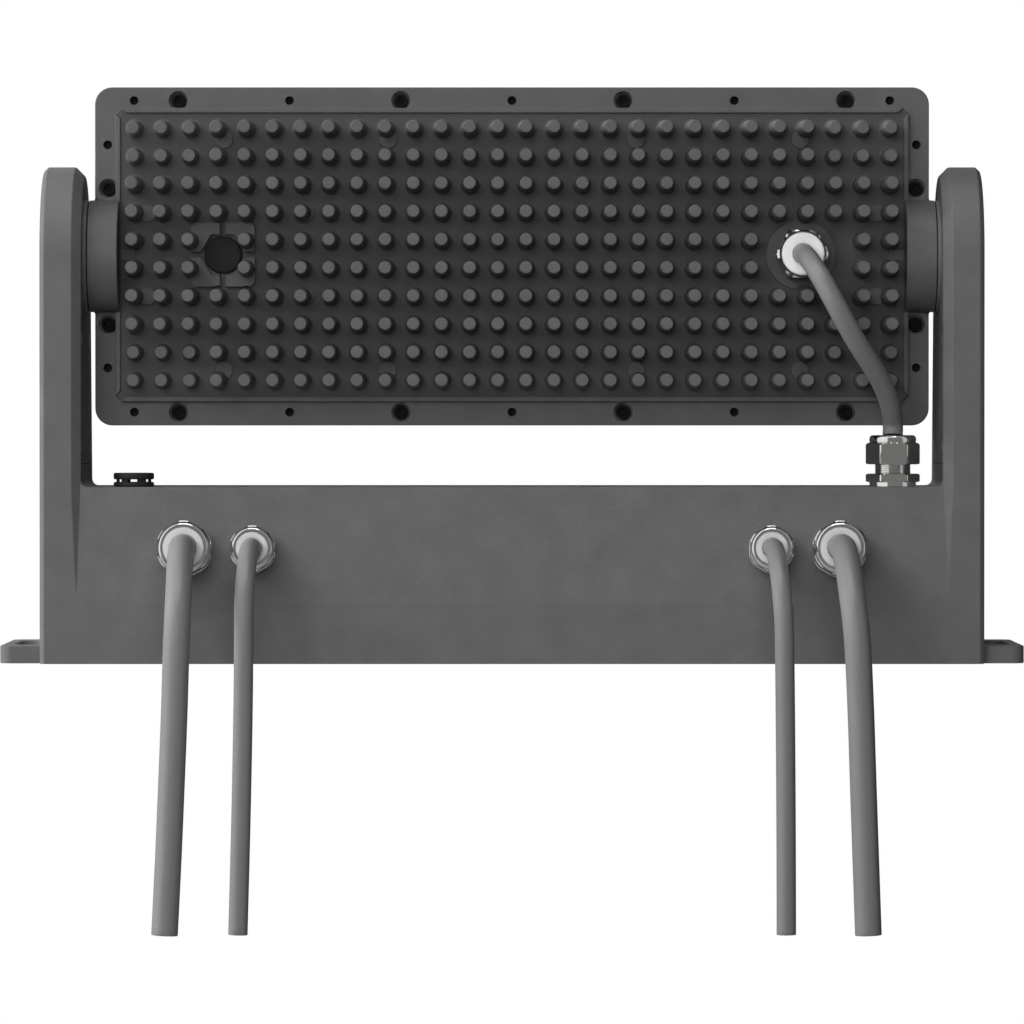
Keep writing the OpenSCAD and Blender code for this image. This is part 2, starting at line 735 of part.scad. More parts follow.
module pivot_bush() {
    translate([boss_x + washer_t, 0, axis_h]) rotate([0, 90, 0]) difference() {
        union() {
            cylinder(r = bush_r - 0.02, h = pivot_floor_x - boss_x - washer_t);
            translate([0, 0, pivot_floor_x - boss_x - washer_t])
                cylinder(r = bush_r + 4, h = bush_flange_t);
        }
        translate([0, 0, -1]) cylinder(r = pivot_r + running_gap, h = arm_t);
    }
}

module pivot_bush_right() { color("goldenrod") pivot_bush(); }
module pivot_bush_left() { color("goldenrod") mirror([1, 0, 0]) pivot_bush(); }

module friction_washer() {
    translate([boss_x - 0.2, 0, axis_h]) rotate([0, 90, 0]) difference() {
        cylinder(r = washer_r, h = washer_t + 0.2);
        translate([0, 0, -1]) cylinder(r = pivot_r + clear, h = washer_t + 3);
    }
}

module friction_washer_right() { color("saddlebrown") friction_washer(); }
module friction_washer_left() { color("saddlebrown") mirror([1, 0, 0]) friction_washer(); }

bolt_head_x = pivot_floor_x + bush_flange_t + 0.1;
bolt_head_t = outer_x - fit - cap_t - clear - bolt_head_x;
bolt_thread_r = 6;

module pivot_bolt() {
    translate([0, 0, axis_h]) rotate([0, 90, 0]) difference() {
        union() {
            translate([0, 0, hub_x]) cylinder(r = pivot_r, h = bolt_head_x - hub_x);
            translate([0, 0, hub_inner_x + 2])
                cylinder(r = bolt_thread_r - thread_gap, h = hub_l);
            translate([0, 0, bolt_head_x]) cylinder(r = bush_r + 3.5, h = bolt_head_t);
        }
        translate([0, 0, bolt_head_x + 0.5]) cylinder(r = 5.8, h = bolt_head_t, $fn = 6);
    }
}

module pivot_bolt_right() { color("silver") pivot_bolt(); }
module pivot_bolt_left() { color("silver") mirror([1, 0, 0]) pivot_bolt(); }

module pivot_cap() {
    translate([outer_x - fit - cap_t, 0, axis_h]) rotate([0, 90, 0])
        cylinder(r = pivot_pocket_r - 0.05, h = cap_t);
}

module pivot_cap_right() { color("black") pivot_cap(); }
module pivot_cap_left() { color("black") mirror([1, 0, 0]) pivot_cap(); }

module base_vent() {
    color("black") at_base_top(-vent_x) {
        translate([0, 0, -base_wall - 7]) cylinder(r = vent_thread_r, h = base_wall + 7);
        cylinder(r = vent_r, h = 2.2);
        translate([0, 0, 3.4]) cylinder(r = vent_r, h = 3);
        for (k = [0:5]) rotate(60 * k - 30) translate([vent_post_r, 0, 2.8])
            cube(vent_post, center = true);
    }
}

// Cable glands, drawn along z from the wall face

module gland_body(g, wall, tail) {
    difference() {
        union() {
            translate([0, 0, -wall - tail]) cylinder(r = g[1], h = wall + tail);
            cylinder(r = g[0] / 2 - 0.25, h = 2.1);
            translate([0, 0, 2.1]) hexagon(g[0], 3.9);
            cylinder(r = g[1] - 0.2, h = g[2] - seal_l);
        }
        translate([0, 0, -wall - tail - 1]) cylinder(r = g[3] + 0.4, h = g[2] + wall + tail);
    }
}

module gland_nut(g) {
    dome = 3.3;
    difference() {
        union() {
            translate([0, 0, 10.3]) hexagon(g[0], g[2] - dome - 10.3);
            translate([0, 0, g[2] - dome - 0.2])
                cylinder(r1 = g[0] / 2 - 0.2, r2 = g[0] / 2 - 0.5, h = dome - 0.7);
            translate([0, 0, g[2] - 0.91])
                cylinder(r1 = g[0] / 2 - 0.5, r2 = g[0] / 2 - 1.4, h = 0.91);
        }
        cylinder(r = g[1] - 0.2 + thread_gap, h = g[2] - seal_l + 0.1);
        translate([0, 0, g[2] - seal_l]) cylinder(r = g[0] / 2 - 2.6, h = seal_l + 1);
    }
}

module gland_seal(g) {
    translate([0, 0, g[2] - seal_l + 0.1]) difference() {
        cylinder(r = g[0] / 2 - 2.62, h = seal_l - 0.2);
        translate([0, 0, -1]) cylinder(r = g[3] + 0.02, h = seal_l + 2);
    }
}

module gland_locknut(g) {
    translate([0, 0, -base_wall * cos(lean_angle) - 5.02]) difference() {
        hexagon(2 * g[1] + 4, 5);
        translate([0, 0, -1]) cylinder(r = g[1] + thread_gap, h = 7);
    }
}

module each_rear_gland() {
    for (s = [-1, 1]) {
        at_rear(s * mains_x) let ($g = mains_gland) children();
        at_rear(s * data_x) let ($g = data_gland) children();
    }
}

module each_gland() {
    each_rear_gland() children();
    at_base_top(top_fit_x) let ($g = jumper_gland) children();
}

module gland_bodies() { color("silver") each_gland() gland_body($g, base_wall, 6); }
module gland_nuts() { color("silver") each_gland() gland_nut($g); }
module gland_seals() { color("whitesmoke") each_gland() gland_seal($g); }

module gland_locknuts() {
    color("silver") each_rear_gland() gland_locknut($g);
}

module mains_in_cable() { color("gray") tube(mains_in_route, mains_d / 2, 12); }
module mains_out_cable() { color("gray") tube(mains_out_route, mains_d / 2, 12); }
module data_in_cable() { color("gray") tube(data_in_route, data_d / 2, 12); }
module data_out_cable() { color("gray") tube(data_out_route, data_d / 2, 12); }
module head_cable() { color("gray") tube(head_cable_route, jumper_d / 2, 12); }

// Head: rear casting with its pin fins

head_screw_spots = concat(
    [for (k = [-1.5, -0.5, 0.5, 1.5], s = [-1, 1]) [screw_step_x * k, s * (head_h / 2 - screw_line)]],
    [for (sx = [-1, 1], sz = [-1, 1]) [sx * (head_w / 2 - screw_line), sz * side_screw_z]]);
small_hole_spots = concat(
    [for (k = [-1, 0, 1], s = [-1, 1]) [k * screw_step_x, s * (head_h / 2 - screw_line)]],
    [for (sx = [-1, 1], s = [-1, 1])
        [sx * (head_w / 2 - end_hole_in), s * (head_h / 2 - screw_line)]],
    [for (sx = [-1, 1], sz = [-1, 1])
        [sx * (head_w / 2 - screw_line + 0.3), sz * (head_h / 2 - side_hole_in)]]);

// Screw bosses of the LED board, as shares of the cavity behind the lenses
boss_r = 4.1;
boss_rise = 0.8;
outer_row = [0.1642, 0.3807] * cavity_w;
inner_row = [0.2736, 0.4818] * cavity_w;
outer_row_z = lens_rows / 2 * lens_pitch - 4.4;
inner_row_z = lens_pitch * 2 / 3;
board_boss_spots = [for (sx = [-1, 1], sz = [-1, 1], k = [0, 1]) each [
    [sx * outer_row[k], sz * outer_row_z + field_up],
    [sx * inner_row[k], sz * inner_row_z + field_up]]];

function pin_x(c) = (c - (pin_columns - 1) / 2) * pin_pitch;
function pin_z(r) = ((pin_rows - 1) / 2 - r) * pin_pitch + field_up;
function is_corner(c, r) = (c < 3 || c >= pin_columns - 3) && (r < 2 || r >= pin_rows - 2);
function under_vent(c, r) = norm([pin_x(c) + head_fit_x, pin_z(r) - field_up]) < 10;
function under_gland(c, r) =
    abs(pin_x(c) - head_fit_x) < 17 && abs(pin_z(r) - field_up) < 10;

module pins() {
    for (c = [0:pin_columns - 1], r = [0:pin_rows - 1])
        if (!under_vent(c, r) && !under_gland(c, r))
            rearward(pin_x(c), field_y + 1, axis_h + pin_z(r))
                cylinder(r1 = pin_root_r, r2 = pin_tip_r,
                    h = 1 + (is_corner(c, r) ? short_pin_l : pin_l));
}

module lip() {
    w = head_w - 2 * lip_in;
    h = head_h - 2 * lip_in - lip_trim;
    difference() {
        head_slab(w, h, 3, flange_y - lip_h, flange_y + sink_d, field_up);
        head_slab(w - 2 * lip_t, h - 2 * lip_t, 1, flange_y - lip_h - 1, flange_front_y, field_up);
        for (sx = [-1, 1], sz = [-1, 1])
            translate([sx * (w / 2 - 1.5), 0, axis_h + field_up + sz * (h / 2 - 1.5)])
                rotate([0, sx * sz * 45, 0])
                    translate([-8, flange_y - lip_h - 1, -lip_gap / 2])
                        cube([16, lip_h + 1, lip_gap]);
    }
}

module hub() {
    translate([hub_inner_x, 0, axis_h]) rotate([0, 90, 0]) cylinder(r = hub_r, h = hub_l);
}

module vent_land() {
    difference() {
        rearward(-head_fit_x, field_y + 1, axis_h + field_up) linear_extrude(vent_land_h + 1)
            rounded(30, 30, 3);
        for (a = [0, 90])
            at_head_fit(-head_fit_x, 0) rotate(a - 30) translate([-20, -1.2, 0])
                cube([40, 2.4, vent_land_h + 1]);
    }
}

module heatsink() {
    color("dimgray") lip();
    color("dimgray") difference() {
        union() {
            head_slab(head_w, head_h, head_corner, flange_y, flange_front_y);
            head_slab(head_w - 2 * lip_in - 1, head_h - 2 * lip_in - lip_trim - 1, 3,
                field_y, flange_front_y, field_up);
            both() hub();
            pins();
            vent_land();
            rearward(head_fit_x, field_y + 1, axis_h + field_up)
                cylinder(r = gland_land_r, h = 1 + gland_land_h);
            for (p = board_boss_spots)
                head_bore(p[0], p[1], boss_r, field_y - boss_rise, field_y + 1);
        }
        for (p = head_screw_spots) {
            head_bore(p[0], p[1], head_screw_r + fit, flange_y - 1, flange_front_y + 1);
            head_bore(p[0], p[1], sink_r, field_y - 1, flange_y + sink_d);
        }
        for (p = small_hole_spots)
            head_bore(p[0], p[1], small_hole_r, flange_y - 1, flange_y + 5);
        for (p = board_boss_spots)
            head_bore(p[0], p[1], 1.5, field_y + 1.5, flange_front_y + 1);
        head_bore(head_fit_x, field_up, jumper_gland[1] + thread_gap,
            field_y - 5, flange_front_y + 1);
        head_bore(-head_fit_x, field_up, vent_thread_r + thread_gap,
            field_y - 5, flange_front_y + 1);
        at_head_fit(-head_fit_x, -1) hexagon(vent_pocket_af, vent_land_h + 5);
        both() translate([hub_inner_x + 1.5, 0, axis_h]) rotate([0, 90, 0])
            cylinder(r = bolt_thread_r, h = hub_l);
    }
}

module head_screws() {
    color("black") for (p = head_screw_spots)
        rearward(p[0], flange_y + sink_d, axis_h + p[1])
            cap_screw(head_screw_r, 10, head_screw_head_r, 3.4);
}

module head_vent_plug() {
    color("black") {
        head_bore(-head_fit_x, field_up, 8.8, field_y - 2.2, field_y + 0.96);
        head_bore(-head_fit_x, field_up, vent_thread_r, field_y, flange_front_y - 0.5);
    }
}

module head_gland_body() {
    color("silver") at_head_fit(head_fit_x, gland_land_h)
        gland_body(jumper_gland, gland_land_h, flange_front_y - field_y - 1);
}
module head_gland_nut() {
    color("silver") at_head_fit(head_fit_x, gland_land_h) gland_nut(jumper_gland);
}
module head_gland_seal() {
    color("whitesmoke") at_head_fit(head_fit_x, gland_land_h) gland_seal(jumper_gland);
}
module head_sheath_end() {
    color("gray") at_head_fit(head_fit_x, gland_land_h)
        translate([0, 0, -7]) cylinder(r = jumper_d / 2, h = jumper_gland[2] + 7);
}

// Head: front frame, glass and optics

module hub_notches(y0, y1) {
    both() translate([hub_inner_x - clear, y0, axis_h - hub_r - clear])
        cube([hub_l + 10, y1 - y0, hub_d + 2 * clear]);
}

module head_gasket() {
    color("black") difference() {
        head_slab(head_w - 0.4, head_h - 0.4, head_corner, flange_front_y, frame_y);
        head_slab(cavity_w, cavity_h, 3, flange_front_y - 1, frame_y + 1);
        hub_notches(flange_front_y - 1, frame_y + 1);
        for (p = head_screw_spots)
            head_bore(p[0], p[1], head_screw_r + fit, flange_front_y - 1, frame_y + 1);
    }
}

module front_frame() {
    color("dimgray") difference() {
        union() {
            head_slab(head_w, head_h, head_corner, frame_y, frame_y + frame_flange_t);
            head_slab(frame_body_w, frame_body_h, 6, frame_y, frame_front_y);
        }
        hub_notches(frame_y - 1, frame_y + frame_flange_t + 1);
        head_slab(cavity_w, cavity_h, 3, frame_y - 1, ledge_y - 4);
        head_slab(opening_w, opening_h, 3, frame_y - 1, frame_front_y + 1);
        head_slab(seat_w, seat_h, 3, ledge_y, frame_front_y + 1);
        for (p = head_screw_spots)
            head_bore(p[0], p[1], head_screw_r, frame_y - 1, frame_y + frame_flange_t - 1);
        for (p = bezel_screw_spots)
            head_bore(p[0], p[1], 1.5, frame_front_y - 7, frame_front_y + 1);
    }
}

bezel_screw_spots = concat(
    [for (k = [-2:2], s = [-1, 1]) [k * 80, s * (frame_body_h - rim_w) / 2]],
    [for (sx = [-1, 1], z = [-40, 0, 40]) [sx * (frame_body_w - rim_w) / 2, z]]);

module glass_gasket() {
    color("black") difference() {
        head_slab(seat_w - 2 * fit, seat_h - 2 * fit, 3, ledge_y, glass_y);
        head_slab(opening_w, opening_h, 3, ledge_y - 1, glass_y + 1);
    }
}

module front_glass() {
    color("lightblue") head_slab(seat_w - 2 * fit, seat_h - 2 * fit, 3, glass_y, glass_y + glass_t);
}

module glass_bezel() {
    color("dimgray") difference() {
        head_slab(frame_body_w, frame_body_h, 6, frame_front_y, frame_front_y + bezel_t);
        head_slab(opening_w, opening_h, 3, frame_front_y - 1, frame_front_y + bezel_t + 1);
        for (p = bezel_screw_spots)
            translate([p[0], frame_front_y + bezel_t, axis_h + p[1]]) rotate([90, 0, 0])
                sunk_hole(cover_screw_r, bezel_t + 1);
    }
}

module bezel_screws() {
    color("silver") for (p = bezel_screw_spots)
        translate([p[0], frame_front_y + bezel_t, axis_h + p[1]]) rotate([90, 0, 0])
            sunk_screw(cover_screw_r, small_screw_l);
}

function lens_x(c) = (c - (lens_columns - 1) / 2) * lens_pitch;
function lens_z(r) = ((lens_rows - 1) / 2 - r) * lens_pitch;

module led_board() {
    color("white") difference() {
        head_slab(cavity_w - 4, cavity_h - 4, 2, flange_front_y, board_top_y);
        for (p = board_boss_spots)
            head_bore(p[0], p[1], 1.7, flange_front_y - 1, board_top_y + 1);
        for (s = [-1, 1])
            head_bore(s * head_fit_x, field_up, 9, flange_front_y - 1, board_top_y + 1);
    }
}

module led_board_screws() {
    color("silver") for (p = board_boss_spots)
        translate([p[0], board_top_y, axis_h + p[1]]) rotate([-90, 0, 0])
            cap_screw(m3_r, led_screw_l, m3_head_r, led_screw_head_h);
}

module led_emitters() {
    color("gold") for (c = [0:lens_columns - 1], r = [0:lens_rows - 1])
        translate([lens_x(c), board_top_y, axis_h + lens_z(r)]) rotate([-90, 0, 0]) {
            translate([-3.5, -3.5, 0]) cube([7, 7, led_t - 0.5]);
            cylinder(r = 2.6, h = led_t);
        }
}

end_leg_x = opening_w / 2 - 7;
lens_legs = [-end_leg_x, -3.5 * lens_pitch, -1.5 * lens_pitch, 1.5 * lens_pitch, 3.5 * lens_pitch,
    end_leg_x];

module lens_array() {
    color("white") {
        head_slab(opening_w - 4, opening_h - 2, 3, lens_plate_y, lens_plate_y + lens_plate_t);
        for (c = [0:lens_columns - 1], r = [0:lens_rows - 1])
            translate([lens_x(c), led_top_y + 0.3, axis_h + lens_z(r)]) rotate([-90, 0, 0])
                cylinder(r1 = 5, r2 = lens_d / 2, h = lens_plate_y - led_top_y + 0.1);
        for (x = lens_legs)
            head_bore(x, 0, 2.5, board_top_y, lens_plate_y + 0.5);
    }
}

module head_wiring() {
    start_y = field_y - gland_land_h + 7.2;
    route = [[start_y, 0], [board_top_y + 1.6, 0], [board_top_y + 3.4, 3], [board_top_y + 3.4, 8],
        [board_top_y + 2, 11], [board_top_y + 0.02, 11]];
    color("firebrick") for (k = [-1:1])
        tube([for (p = route) [head_fit_x + 2.6 * k, p[0], axis_h + field_up + p[1]]], 0.9, 6);
}

yoke_base();
base_plate();
base_gasket();
base_plate_screws();
power_supply();
equipment_screws();
control_board();
control_parts();
board_standoffs();
terminal_blocks();
internal_wiring();
sheath_ends();
arm_cover_left();
arm_cover_right();
arm_cover_screws();
pivot_bush_left();
pivot_bush_right();
friction_washer_left();
friction_washer_right();
pivot_cap_left();
pivot_cap_right();
base_vent();
gland_bodies();
gland_nuts();
gland_seals();
gland_locknuts();
mains_in_cable();
data_in_cable();
data_out_cable();
mains_out_cable();
head_cable();
heatsink();
head_screws();
head_vent_plug();
head_gland_body();
head_gland_nut();
head_gland_seal();
head_sheath_end();
pivot_bolt_left();
pivot_bolt_right();
head_gasket();
front_frame();
glass_gasket();
front_glass();
glass_bezel();
bezel_screws();
led_board();
led_board_screws();
led_emitters();
lens_array();
head_wiring();
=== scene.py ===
"""Outdoor LED wash light: finish, cables, pin fins, glands and optics around its solids."""

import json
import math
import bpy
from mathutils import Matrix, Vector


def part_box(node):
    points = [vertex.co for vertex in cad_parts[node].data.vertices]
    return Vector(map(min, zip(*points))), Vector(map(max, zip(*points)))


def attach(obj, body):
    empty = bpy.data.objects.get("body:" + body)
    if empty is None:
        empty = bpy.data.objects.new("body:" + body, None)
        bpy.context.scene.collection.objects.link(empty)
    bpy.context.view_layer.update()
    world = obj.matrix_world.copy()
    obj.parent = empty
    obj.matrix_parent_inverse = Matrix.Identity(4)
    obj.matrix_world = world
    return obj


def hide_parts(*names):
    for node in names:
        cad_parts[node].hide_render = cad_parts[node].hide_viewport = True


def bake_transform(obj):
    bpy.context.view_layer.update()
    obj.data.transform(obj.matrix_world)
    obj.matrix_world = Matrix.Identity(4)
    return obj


bl_info = {
    "name": "LED wash light",
    "version": (1, 0, 0),
    "blender": (4, 5, 0),
    "location": "3D View > Sidebar > Wash light",
    "description": "Dresses the solids of an outdoor LED wash light",
    "category": "Object",
}

from contextlib import contextmanager

import bmesh
import bpy
from bpy.props import FloatProperty, FloatVectorProperty, IntProperty, PointerProperty
from bpy.types import Operator, Panel, PropertyGroup
from mathutils import Matrix, Vector

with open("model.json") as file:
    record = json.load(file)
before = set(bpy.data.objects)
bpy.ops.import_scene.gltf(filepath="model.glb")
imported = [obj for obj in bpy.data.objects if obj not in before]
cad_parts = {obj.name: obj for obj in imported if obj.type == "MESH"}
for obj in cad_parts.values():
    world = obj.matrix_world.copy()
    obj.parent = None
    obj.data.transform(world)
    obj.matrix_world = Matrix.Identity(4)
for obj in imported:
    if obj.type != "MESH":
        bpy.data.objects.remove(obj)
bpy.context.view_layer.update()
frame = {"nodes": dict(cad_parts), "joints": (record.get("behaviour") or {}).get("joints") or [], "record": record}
NODES = frame["nodes"]
MM = 0.001

SAME_PLACE = 1e-6  # points closer than this are one
SUNK = 0.2 * MM  # how far a small part is sunk into what it stands on
CUTTER_CLEAR = 6 * MM  # how far a cutter starts before the face that it cuts
SIDES = (-1, 1)

# Places that the solids fix, in metres
HINGE = Vector(frame["joints"][0]["pos_m"])
REAR_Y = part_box("yoke_base")[0].y
FLANGE_LOW, FLANGE_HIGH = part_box("front_frame")  # same outline as the heatsink's flange
HALF_W, HALF_H = FLANGE_HIGH.x, (FLANGE_HIGH.z - FLANGE_LOW.z) / 2
FLANGE_Y, FLANGE_FRONT_Y = 2 * MM, 8 * MM  # rear and front of the heatsink's flange
FIELD_Y = 0.0  # plane from which the pins rise
FIELD_UP = 0.7 * MM  # middle of the pins above the tilt axis
FITTING_X = 134.5 * MM  # head gland, and the vent plug on the other side
LAND_RISE = 1.5 * MM  # land of the head gland above the field
JUMPER_SEAT = Vector((176, -25, 81.5)) * MM  # head cable's gland on top of the base
VENT_SEAT = Vector((-174.8, -25, 81.5)) * MM
WALL_LEAN = math.atan(4 / 53.5)
WALL_OUT = Vector((0, -math.cos(WALL_LEAN), math.sin(WALL_LEAN)))
REAR_SEAT_Y, REAR_SEAT_Z = -39.19 * MM, 52.2 * MM  # rear glands on the leaning wall
MAINS_X, DATA_X = 150.3 * MM, 119 * MM
GLAND_HEIGHTS = {"mains": 25 * MM, "data": 22 * MM, "jumper": 23.8 * MM}


# Settings that a user would change

class CastingSettings(PropertyGroup):
    base_colour: FloatVectorProperty(
        name="Base paint", description="Colour of the powder coat on the base and arms",
        default=(0.118, 0.118, 0.118), subtype="COLOR", min=0, max=1)
    head_colour: FloatVectorProperty(
        name="Head paint", description="Colour of the powder coat on the head",
        default=(0.1, 0.1, 0.1), subtype="COLOR", min=0, max=1)
    # Painted shade: how bright the coat between the pins is kept, darkened to stand for the shade among the pins.
    field_painted_shade: FloatProperty(
        name="Painted field shade", description="Brightness of the coat between the pins, to the head's 1",
        default=0.7, min=0, max=1)
    edge_round: FloatProperty(
        name="Edge rounding", description="Radius left on the cast edges",
        default=0.45 * MM, unit="LENGTH", min=0.0001, max=0.001)
    grain: FloatProperty(
        name="Coat grain", description="Size of the grains in the powder coat",
        default=0.5 * MM, unit="LENGTH", min=0.0001, max=0.005)


class FinSettings(PropertyGroup):
    columns: IntProperty(name="Columns", description="Pins across the head", default=28, min=2)
    rows: IntProperty(name="Rows", description="Pins up the head", default=10, min=2)
    pitch: FloatProperty(
        name="Pitch", description="Distance between neighbouring pins",
        default=13 * MM, unit="LENGTH")
    length: FloatProperty(
        name="Length", description="Length of the pins", default=34 * MM, unit="LENGTH")
    short_length: FloatProperty(
        name="Corner length", description="Length of the pins near the corners",
        default=21 * MM, unit="LENGTH")
    root_radius: FloatProperty(
        name="Root radius", description="Pin radius at the field", default=4.1 * MM, unit="LENGTH")
    tip_radius: FloatProperty(
        name="Tip radius", description="Pin radius at the tip", default=2.9 * MM, unit="LENGTH")
    sides: IntProperty(name="Sides", description="Flats round each pin", default=14, min=8)


class GlandSettings(PropertyGroup):
    mains_width: FloatProperty(
        name="Mains hexagon", description="Width across the flats of the mains glands",
        default=24 * MM, unit="LENGTH")
    data_width: FloatProperty(
        name="Data hexagon", description="Width across the flats of the data glands",
        default=20 * MM, unit="LENGTH")
    jumper_width: FloatProperty(
        name="Head cable hexagon", description="Width across the flats of the head cable glands",
        default=22 * MM, unit="LENGTH")
    colour: FloatVectorProperty(
        name="Nickel", description="Colour of the nickel plating",
        default=(0.82, 0.81, 0.79), subtype="COLOR", min=0, max=1)


class CableSettings(PropertyGroup):
    mains_diameter: FloatProperty(
        name="Mains cable", description="Diameter of the mains cables",
        default=12 * MM, unit="LENGTH")
    data_diameter: FloatProperty(
        name="Data cable", description="Diameter of the data cables",
        default=8.8 * MM, unit="LENGTH")
    jumper_diameter: FloatProperty(
        name="Head cable", description="Diameter of the head cable",
        default=9.4 * MM, unit="LENGTH")
    colour: FloatVectorProperty(
        name="Sheath", description="Colour of the cable sheaths",
        default=(0.175, 0.175, 0.175), subtype="COLOR", min=0, max=1)


class StageSettings(PropertyGroup):
    lens: FloatProperty(
        name="Lens", description="Focal length on a 36 mm sensor", default=246.1, min=20)
    distance: FloatProperty(
        name="Distance", description="Camera distance behind the rear plane of the arms",
        default=3.22, unit="LENGTH")
    height: FloatProperty(
        name="Height", description="Camera height above the mounting face",
        default=0.1144, unit="LENGTH")
    pitch: FloatProperty(
        name="Pitch", description="How far the camera looks down",
        default=math.radians(0.79), unit="ROTATION")
    floor_z: FloatProperty(
        name="Floor", description="Height of the floor", default=-0.6, unit="LENGTH")
    key_power: FloatProperty(
        name="Key", description="Power of the large panel on the rear side, at the left",
        default=32, min=0)
    side_power: FloatProperty(
        name="Side", description="Power of the tall panel beside the left arm", default=130, min=0)
    fill_power: FloatProperty(
        name="Fill", description="Power of the panel on the rear side, near the middle",
        default=35, min=0)
    top_power: FloatProperty(
        name="Top", description="Power of the panel above the object", default=14, min=0)
    front_power: FloatProperty(
        name="Front", description="Power of the panel on the lens side", default=45, min=0)
    ambient: FloatProperty(
        name="Ambient", description="Strength of the world's soft light", default=0.006, min=0)


class WashLightSettings(PropertyGroup):
    casting: PointerProperty(type=CastingSettings)
    fins: PointerProperty(type=FinSettings)
    glands: PointerProperty(type=GlandSettings)
    cables: PointerProperty(type=CableSettings)
    stage: PointerProperty(type=StageSettings)


def settings():
    return bpy.context.scene.wash_light


# Shader maths

class Wire:
    """A socket of a node tree that can be used in sums and products."""

    def __init__(self, nodes, socket):
        self.nodes = nodes
        self.socket = socket

    def _math(self, operation, first, second):
        return self.nodes.add("ShaderNodeMath", {"operation": operation}, {0: first, 1: second})

    def __add__(self, other):
        return self._math("ADD", self, other)

    def __sub__(self, other):
        return self._math("SUBTRACT", self, other)

    def __rsub__(self, other):
        return self._math("SUBTRACT", other, self)

    def __mul__(self, other):
        return self._math("MULTIPLY", self, other)

    __radd__ = __add__
    __rmul__ = __mul__


class Nodes:
    """An emptied node tree, and the way in which its nodes are added."""

    def __init__(self, tree, output):
        self.tree = tree
        tree.nodes.clear()
        self.out = tree.nodes.new(output)

    def add(self, kind, options=None, sockets=None, result=0):
        """Adds a node, sets its options and then its sockets, and returns one of its outputs."""
        node = self.tree.nodes.new(kind)
        for key, value in (options or {}).items():
            if key == "stops":
                self._set_stops(node.color_ramp, value)
            else:
                setattr(node, key, value)
        for key, value in (sockets or {}).items():
            if isinstance(value, Wire):
                self.tree.links.new(value.socket, node.inputs[key])
            else:
                node.inputs[key].default_value = value
        return Wire(self, node.outputs[result])

    @staticmethod
    def _set_stops(ramp, stops):
        while len(ramp.elements) < len(stops):
            ramp.elements.new(0.5)
        for element, (position, colour) in zip(ramp.elements, stops):
            element.position = position
            element.color = colour

    def mix(self, share, first, second):
        """Mixes two colours."""
        return self.add(
            "ShaderNodeMix", {"data_type": "RGBA"}, {0: share, 6: first, 7: second}, 2)

    def end(self, shader):
        self.tree.links.new(shader.socket, self.out.inputs["Surface"])


class Shade(Nodes):
    """A material and what its finishes are made from."""

    def __init__(self, name):
        self.material = bpy.data.materials.new(name)
        self.material.use_nodes = True
        super().__init__(self.material.node_tree, "ShaderNodeOutputMaterial")

    def place(self, scale=(1, 1, 1)):
        coordinates = self.add("ShaderNodeTexCoord", result="Object")
        return self.add("ShaderNodeMapping", None, {"Vector": coordinates, "Scale": scale})

    def noise(self, size, detail=2.0, roughness=0.5, scale=(1, 1, 1)):
        """Noise from 0 to 1 whose lumps measure size metres."""
        return self.add("ShaderNodeTexNoise", None, {
            "Vector": self.place(scale), "Scale": 1 / size, "Detail": detail,
            "Roughness": roughness})

    def vary(self, colour, mask, amount):
        """The colour made lighter and darker by amount where mask leaves its middle."""
        low, high = ([channel * (1 + side * amount) for channel in colour] for side in SIDES)
        return self.mix(mask, rgba(low), rgba(high))

    def bump(self, height, distance, strength):
        return self.add("ShaderNodeBump", None, {
            "Height": height, "Distance": distance, "Strength": strength})

    def surface(self, **sockets):
        names = {key.replace("_", " "): value for key, value in sockets.items()}
        self.end(self.add("ShaderNodeBsdfPrincipled", None, names))
        return self.material


def rgba(colour):
    return (*colour[:3], 1)


def grey(level):
    return (level, level, level, 1)


# Finishes

def powder_coat(name, colour):
    """Fine-textured powder coat: small grains in relief, faint clouds of tone."""
    shade = Shade(name)
    grain = settings().casting.grain
    fine = shade.noise(grain, detail=3, roughness=0.6)
    clouds = shade.noise(28 * grain, detail=2)
    tone = fine * 0.7 + clouds * 0.3
    return shade.surface(
        Base_Color=shade.vary(colour, tone, 0.6),
        Roughness=fine * 0.12 + 0.46,
        Specular_IOR_Level=0.42,
        Normal=shade.bump(fine, 0.07 * MM, 0.8))


def speckled(name, colour, size, variation, rough, relief=None, detail=3, scale=(1, 1, 1),
             **sockets):
    """A finish whose tone, gloss and height follow one noise with lumps of a size. Rough is the
    least roughness and what the lumps add to it, and relief is their height and strength."""
    shade = Shade(name)
    lumps = shade.noise(size, detail=detail, scale=scale)
    least, added = rough
    if relief:
        sockets["Normal"] = shade.bump(lumps, *relief)
    return shade.surface(
        Base_Color=shade.vary(colour, lumps, variation),
        Roughness=lumps * added + least if added else least, **sockets)


def small_part(name, colour, rough, lump=1.0, metal=0.0):
    """Finish of a small part inside: a tint with fine variation."""
    return speckled(
        name, colour, lump * MM, 0.12, (rough, 0.12), (0.02 * MM, 0.5), Metallic=metal)


def cable_sheath():
    """Grey rubber sheath: a fine satin skin with faint dust."""
    shade = Shade("cable_sheath")
    skin = shade.noise(0.9 * MM, detail=3)
    dust = shade.noise(16 * MM, detail=2)
    return shade.surface(
        Base_Color=shade.vary(settings().cables.colour, skin * 0.6 + dust * 0.4, 0.09),
        Roughness=skin * 0.08 + 0.3,
        Specular_IOR_Level=0.5,
        Normal=shade.bump(skin, 0.02 * MM, 0.35))


def clear_glass(name, colour, ior, rough):
    shade = Shade(name)
    dust = shade.noise(9 * MM, detail=3)
    return shade.surface(
        Base_Color=rgba(colour),
        Transmission_Weight=1.0,
        IOR=ior,
        Roughness=dust * 0.02 + rough)


# Painted shade: the head's colour darkened for the field between the pins.
def painted_shade_field_colour(casting):
    return [casting.field_painted_shade * channel for channel in casting.head_colour]


